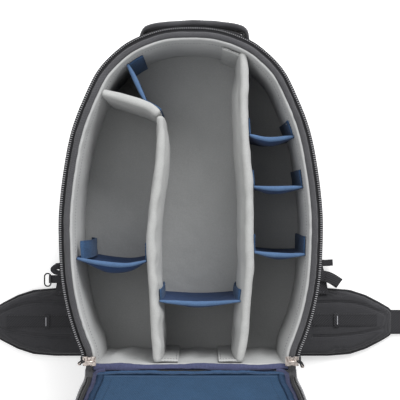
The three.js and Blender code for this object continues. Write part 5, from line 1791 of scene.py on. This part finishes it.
class Harness:
    """The pads, straps and webbing under the bag and at its sides."""

    def build(self) -> None:
        """Builds the harness."""
        self.pads()
        self.straps()
        self.webbing()
        self.left_side()
        self.locks()

    def edge(self, name: str, line: Array, z: float, closed: bool, size: float = 3.4) -> None:
        """Builds a bound edge round a pad."""
        path = raised(line, z)
        cord = skin(name, sweep_rows(path, oval(size, size * 1.3, 2.4, 8), closed), closed)
        dress(cord, PIPING, "padded_fabric")

    def pad(self, name: str, node: str, voxel: float, most: float, seams: Sequence, finish: object) -> Piece:
        """Builds a pad from its node, swells it and presses its seams in."""
        pad = Padding.from_node(name, node, voxel)
        Padding.swell(pad, most)
        between = lambda p, normals: np.column_stack([p[:, :2], np.clip(p[:, 2], 0.05, 19.6)])
        move_corners(pad, between)
        finer(pad)
        low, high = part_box(node)
        for seam in seams:
            groove(pad, seam, 2.6, 2.2, (low.z + high.z) / 2 / MM)
        return dress(pad, finish, "padded_fabric", node)

    def pads(self) -> None:
        """Builds the two back pads and the lumbar pad."""
        for side, sign in (("right", 1), ("left", -1)):
            x = sign * 46
            seams = [np.array([(x - 26, y), (x + 26, y)]) for y in (-10, 25, 60)]
            self.pad(f"back_cushion_{side}", f"back_pad_{side}", 5, 2.5, seams, AIR_MESH)
            self.edge(f"back_cushion_edge_{side}", rounded(x, 25, 64.5, 146.5, 20), 9.8, True)
        seams = [np.array([(x, -212), (x, -132)]) for x in (-35, 35)]
        self.pad("lumbar_cushion", "lumbar_pad", 6, 2.5, seams, AIR_MESH)
        self.edge("lumbar_cushion_edge", rounded(0, -172, 206, 96, 20), 9.8, True)

    def straps(self) -> None:
        """Builds the shoulder straps and the yoke."""
        for side, sign in (("right", 1), ("left", -1)):
            line = smooth_route([(a * HALF_WIDTH * sign, u * BAG_LENGTH) for a, u in STRAP_STATIONS], 160)[:, :2]
            line = line[(np.abs(line[:, 0]) > 48) & (line[:, 1] > -46)]
            self.pad(f"shoulder_pad_{side}", f"shoulder_strap_{side}", 4.5, 1.5, [line[10:-10]], PADDED)
            along = unit(np.gradient(line, axis=0))
            normal = np.stack([-along[:, 1], along[:, 0]], axis=1)
            for number, reach in enumerate((24, -24)):
                self.edge(f"shoulder_edge_{side}_{number + 1}", resample(line + normal * reach, 70), 13.7, False, 3)
        self.pad("yoke_pad", "strap_yoke", 4.5, 1.2, [np.array([(-38, 150), (38, 150)])], PADDED)

    def ribbon(self, name: str, path: Array, width: float, thick: float, slot: str, *nodes: str) -> Piece:
        """Builds a flat webbing along a path of middles."""
        path = np.asarray(path, float)
        count = max(int(norm(np.diff(path, axis=0), axis=1).sum() / 3), 6)
        rows = sweep_rows(resample(path, count), oval(width, thick, 7, 16))
        piece = skin(name, rows, crease=60)
        return dress(piece, WEBBING, slot, *nodes)

    def webbing(self) -> None:
        """Builds the strap webbing, the anchor tabs and the right tail."""
        foot_x = STRAP_STATIONS[-1][0] * HALF_WIDTH
        route = [
            (foot_x, -58, 12.15), (foot_x + 26, -74, 12.15), (198, ANCHOR_Y + 24, 12.15), (218, ANCHOR_Y + 24, 12.15),
        ]
        sewn = Stitches()
        for side, sign in (("right", 1), ("left", -1)):
            ends = route if sign > 0 else [*route[:2], (196, ANCHOR_Y + 20, 12.15), (210, ANCHOR_Y + 18, 12.15)]
            path = smooth_route([(x * sign, y, z) for x, y, z in ends], 40)
            self.ribbon(f"strap_web_{side}", path, 10, 2.4, "webbing", f"strap_webbing_{side}")
            x = np.linspace(120.5, 209.5, 30) * sign
            droop = 16.7 - 1.2 * ramp(np.abs(x), 185, 210) ** 2
            path = np.column_stack([x, np.full(30, ANCHOR_Y), droop])
            tab = self.ribbon(f"anchor_web_{side}", path, 49.6, 5.4, "webbing", f"anchor_tab_{side}")
            move_corners(tab, self.taper)
            soften(tab, 24, 0.5, 91, lambda p: np.abs(p[:, 0]) > 180)
            for x in (186, 196):
                line = np.array([(x * sign, y, 19.6) for y in np.linspace(ANCHOR_Y - 22, ANCHOR_Y + 22, 20)])
                sewn.run(line, length=2.6, gap=1.4)
            line = np.array([(x * sign, ANCHOR_Y - 21, 19.6) for x in np.linspace(175, 205, 20)])
            sewn.run(line, length=2.6, gap=1.4)
        dress(sewn.piece("anchor_stitches"), THREAD_GREY, "webbing")
        right = smooth_route([(188, -116, 21.6), (210, -120, 22.1), (222, -126.5, 21.4), (227, -130, 20.6)], 14)
        self.ribbon("web_end_right", right, 17, 2.8, "webbing", "strap_tail_right")
        fold = smooth_route([(226, -128, 22.6), (218, -124.5, 24), (212, -122, 24.3), (206, -119.5, 23.9)], 10)
        self.ribbon("web_fold_right", fold, 14.5, 2.4, "webbing")

    @staticmethod
    def taper(corners: Array, normals: Array) -> Array:
        """Draws an anchor tab's outer end in towards its top."""
        moved = corners.copy()
        far = ramp(np.abs(corners[:, 0]), 180, 210)
        up = ramp(corners[:, 1], ANCHOR_Y - 14, ANCHOR_Y + 25)
        moved[:, 0] -= np.sign(corners[:, 0]) * far * up * 9
        return moved

    def left_side(self) -> None:
        """Builds the left loop and its thin ring."""
        path = np.array([(x, -123, 21.3 + 0.5 * math.sin(x / 5)) for x in np.linspace(-219.2, -188.2, 16)])
        self.ribbon("web_loop_left", path, 12.4, 2.6, "webbing", "strap_tail_left")
        turn = [
            (-189, -98, 20.5), (-202, -101.5, 21.5), (-211, -105, 22),
            (-213.5, -109, 22), (-208, -112.5, 22), (-189, -115, 21.5),
        ]
        fold = skin("web_fold_left", sweep_rows(smooth_route(turn, 40), oval(7.6, 5.4, 3, 14)))
        soften(fold, 9, 0.5, 92)
        dress(fold, WEBBING, "webbing")
        low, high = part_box("side_ring_left")
        middle = (low + high) / 2
        bpy.ops.object.select_all(action="DESELECT")
        bpy.ops.mesh.primitive_torus_add(
            major_segments=40, minor_segments=12, major_radius=0.0049, minor_radius=0.0011, location=middle
        )
        ring = Bench.applied("side_ring")
        Bench.edit(ring)
        bpy.ops.mesh.select_mode(type="VERT")
        work = bmesh.from_edit_mesh(ring.data)
        for corner in work.verts:
            corner.select_set(corner.co.y > middle.y)
        bmesh.update_edit_mesh(ring.data)
        bpy.ops.transform.translate(value=(0, 0.0049, 0))
        bpy.ops.mesh.select_all(action="INVERT")
        bpy.ops.transform.translate(value=(0, -0.0049, 0))
        Bench.close()
        smooth(ring, 60)
        dress(ring, DARK_WIRE, "slider_metal", "side_ring_left")

    def locks(self) -> None:
        """Models the ladder locks under the straps' ends."""
        for side in ("right", "left"):
            low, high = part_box(f"ladder_lock_{side}")
            middle, size = (low + high) / 2, high - low
            lock = Bench.block(f"strap_lock_{side}", middle, (size.x, size.y, size.z * 0.8))
            for share in (0.28, 0.72):
                place = Vector((middle.x, low.y + size.y * share, middle.z))
                Bench.cut(lock, Bench.block("slot", place, (size.x - 0.007, 0.0036, 0.02)))
            Bench.bevel_edges(lock, lambda a, b: (a - b).length > 0.0025, 0.0006, 2)
            dress(smooth(lock, 40), PLASTIC, "hardware_plastic", f"ladder_lock_{side}")


class HipBelt:
    """The padded wings, their webbing and the open buckle."""

    root = 105.3
    reach = 310.0
    half = 53.0
    left_drop = 2.5
    keeper_x = 223.0

    def build(self) -> None:
        """Builds both wings and what they carry."""
        self.sewn = Stitches()
        self.harness = Harness()
        for side, sign in (("right", 1), ("left", -1)):
            self.wing(side, sign)
            self.bands(side, sign)
        dress(self.sewn.piece("belt_stitches"), THREAD_DARK, "padded_fabric")
        self.plug()
        self.socket()

    def outline(self, shrink: float) -> Array:
        """Draws the right wing's outline in plan."""
        upper = [
            (self.root + along * (self.reach - self.root), WING_Y + half * self.half - shrink)
            for along, half in WING_STATIONS
        ]
        upper[-1] = (upper[-1][0] - shrink, upper[-1][1])
        lower = [(x, 2 * WING_Y - y) for x, y in reversed(upper)]
        return resample(np.array(upper + lower), 120)

    def wing(self, side: str, sign: int) -> None:
        """Builds a wing with its seams."""
        curve = lambda points: smooth_route([(x * sign, y) for x, y in points], 60)[:, :2]
        seams = [
            curve([(188, WING_Y + 30), (230, WING_Y + 31), (262, WING_Y + 27), (296, WING_Y + 14)]),
            curve([(188, WING_Y - 22), (225, WING_Y - 21), (262, WING_Y - 17), (296, WING_Y - 9)]),
        ]
        self.harness.pad(f"wing_pad_{side}", f"hip_wing_{side}", 5, 2.0, seams, PADDED)
        line = self.outline(2.2) * (sign, 1)
        self.harness.edge(f"wing_edge_{side}", line, 6.5, False, 3.6)
        for seam in seams:
            self.sewn.run(raised(seam, 11.6), (0, 0, 1), 3.0, 1.6, 0.8, 0.5)
        border = self.outline(7.5) * (sign, 1)
        self.sewn.run(raised(border, 12.2), (0, 0, 1), 3.0, 1.6, 0.8, 0.5)

    def bands(self, side: str, sign: int) -> None:
        """Builds the webbing on a wing, its keeper and the belt's webbing."""
        low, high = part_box(f"wing_band_{side}")
        y = (low.y + high.y) / 2 / MM - SHIFT_Y - (self.left_drop if sign < 0 else 0)
        x = np.linspace(186.3, 285.7, 34) * sign
        path = np.column_stack([x, np.full(34, y), 14.6 + 0.35 * np.sin(x / 12)])
        self.harness.ribbon(f"band_{side}", path, 19.4, 2.3, "webbing", f"wing_band_{side}")
        for edge in (-7.6, 7.6):
            line = path + (0, edge, 1.25)
            self.sewn.run(line, (0, 0, 1), 2.8, 1.5, 0.7, 0.4)
        middle = self.keeper_x * sign
        across = np.linspace(-11, 11, 16)
        keeper = np.array([(middle, y + t, 16.9 - 2.0 * max(abs(t) - 10.2, 0) ** 1.5) for t in across])
        self.harness.ribbon(f"keeper_{side}", keeper, 8, 1.5, "webbing", f"wing_loop_{side}")
        place = Vector(row_place(np.array((middle + 1.5 * sign, y, 17.9))))
        bar = Bench.block(f"keeper_bar_{side}", place, (0.001, 0.0135, 0.0007))
        Bench.bevel_edges(bar, lambda a, b: True, 0.0002, 2)
        dress(smooth(bar, 40), REFLECTIVE, "webbing")
        x = np.linspace(300, 378, 26) * sign
        belt = np.column_stack([x, np.full(26, WING_Y), 6.5 + 0.25 * np.sin(x / 9)])
        self.harness.ribbon(f"belt_web_{side}", belt, 37.6, 2.4, "webbing", f"belt_webbing_{side}")
        for edge in (-15.5, 15.5):
            self.sewn.run(belt[3:] + (0, edge, 1.3), (0, 0, 1), 2.8, 1.5, 0.7, 0.4)

    def plug(self) -> None:
        """Models the buckle's plug with its two arms and its tongue."""
        low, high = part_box("buckle_plug")
        middle, size = (low + high) / 2, high - low
        base_length = size.x * 0.34
        base = Bench.block(
            "belt_plug", Vector((low.x + base_length / 2, middle.y, middle.z)), (base_length, size.y, size.z)
        )
        place = Vector((low.x + base_length * 0.42, middle.y, middle.z))
        Bench.cut(base, Bench.block("slot", place, (0.0042, size.y - 0.008, 0.05)))
        parts = []
        for number, (offset, wide) in enumerate(((0.33, 0.22), (-0.33, 0.22), (0.0, 0.13))):
            start = Vector((low.x + base_length - 0.001, middle.y + size.y * offset, middle.z))
            arm = Bench.block(f"arm_{number}", start, (0.006, size.y * wide, size.z * 0.8))
            reach = size.x - base_length - 0.002
            Bench.draw_out(arm, Vector((1, 0, 0)), reach * 0.5, (1, 0.8, 0.9))
            Bench.draw_out(arm, Vector((1, 0, 0)), reach * 0.2, (1, 1.35 if offset else 1.0, 1))
            Bench.draw_out(arm, Vector((1, 0, 0)), reach * 0.2, (1, 0.55, 0.6))
            parts.append(arm)
        Bench.join(base, parts)
        Bench.bevel_edges(base, lambda a, b: (a - b).length > 0.003, 0.0008, 2)
        dress(smooth(base, 40), PLASTIC, "hardware_plastic", "buckle_plug")

    def socket(self) -> None:
        """Models the buckle's socket with its mouth and side windows."""
        low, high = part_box("buckle_socket")
        middle, size = (low + high) / 2, high - low
        body = Bench.block("belt_socket", middle, tuple(size))
        Bench.bevel_edges(body, lambda a, b: abs(a.z - b.z) > 0.004, 0.005, 4)
        Bench.press_face(body, Vector((0, 0, 1)), 0.0045, -0.0007)
        place = Vector((low.x + size.x * 0.34, middle.y, middle.z))
        Bench.cut(body, Bench.block("mouth", place, (size.x * 0.72, size.y * 0.8, size.z * 0.55)))
        for sign in (1, -1):
            place = Vector((middle.x, middle.y + sign * size.y * 0.5, middle.z))
            Bench.cut(body, Bench.block("window", place, (size.x * 0.34, 0.011, size.z * 0.62)))
        place = Vector((high.x - 0.007, middle.y, middle.z))
        Bench.cut(body, Bench.block("slot", place, (0.0042, size.y - 0.011, 0.05)))
        Bench.bevel_edges(body, lambda a, b: (a - b).length > 0.004, 0.0007, 2)
        dress(smooth(body, 40), PLASTIC, "hardware_plastic", "buckle_socket")


# ---- studio


@dataclass
class Studio:
    """The floor, the lights and the camera."""

    camera_place: tuple = (0.0128, 0.188968, 1.692)
    lens: float = 97.8
    floor_size: float = 60.0
    floor_glow: float = 0.34
    sky: float = 0.72

    def build(self) -> None:
        """Sets the studio up."""
        scene = bpy.context.scene
        scene.view_settings.view_transform = "Standard"
        bpy.ops.object.select_all(action="DESELECT")
        bpy.ops.mesh.primitive_plane_add(size=self.floor_size, location=(0, 0, 0))
        floor = bpy.context.active_object
        floor.name = "studio_floor"
        floor.data.materials.append(FLOOR.material())
        shader = floor.data.materials[0].node_tree.nodes["Principled BSDF"]
        shader.inputs["Emission Color"].default_value = (1, 1, 1, 1)
        shader.inputs["Emission Strength"].default_value = self.floor_glow
        world = bpy.data.worlds.new("Studio")
        world.use_nodes = True
        background = world.node_tree.nodes["Background"]
        background.inputs[0].default_value = (1, 1, 1, 1)
        background.inputs[1].default_value = self.sky
        scene.world = world
        self.lamp("key", (0.8, 2.0, 1.45), (0.0, 0.0, 0.12), 1.5, 58)
        self.lamp("fill", (-0.9, 0.4, 2.0), (0.0, 0.1, 0.1), 1.6, 8)
        data = bpy.data.cameras.new("Camera")
        data.lens, data.sensor_width = self.lens, 36
        data.clip_start, data.clip_end = 0.05, 50
        camera = bpy.data.objects.new("Camera", data)
        camera.location = self.camera_place
        scene.collection.objects.link(camera)
        scene.camera = camera

    @staticmethod
    def lamp(name: str, place: tuple, target: tuple, size: float, power: float) -> None:
        """Adds a soft square light that looks at a target."""
        data = bpy.data.lights.new(name, "AREA")
        data.size, data.energy = size, power
        lamp = bpy.data.objects.new(name, data)
        lamp.location = place
        lamp.rotation_euler = (Vector(target) - Vector(place)).to_track_quat("-Z", "Y").to_euler()
        bpy.context.scene.collection.objects.link(lamp)


def main() -> None:
    """Builds the pieces in order."""
    logging.basicConfig(level=logging.INFO, format="%(name)s %(message)s")
    Studio().build()
    BodyShell().build()
    LiningSet().build()
    Zip().build()
    Dividers().build()
    Lid().build()
    Handle().build()
    Harness().build()
    HipBelt().build()


if __name__ == "__main__":
    main()
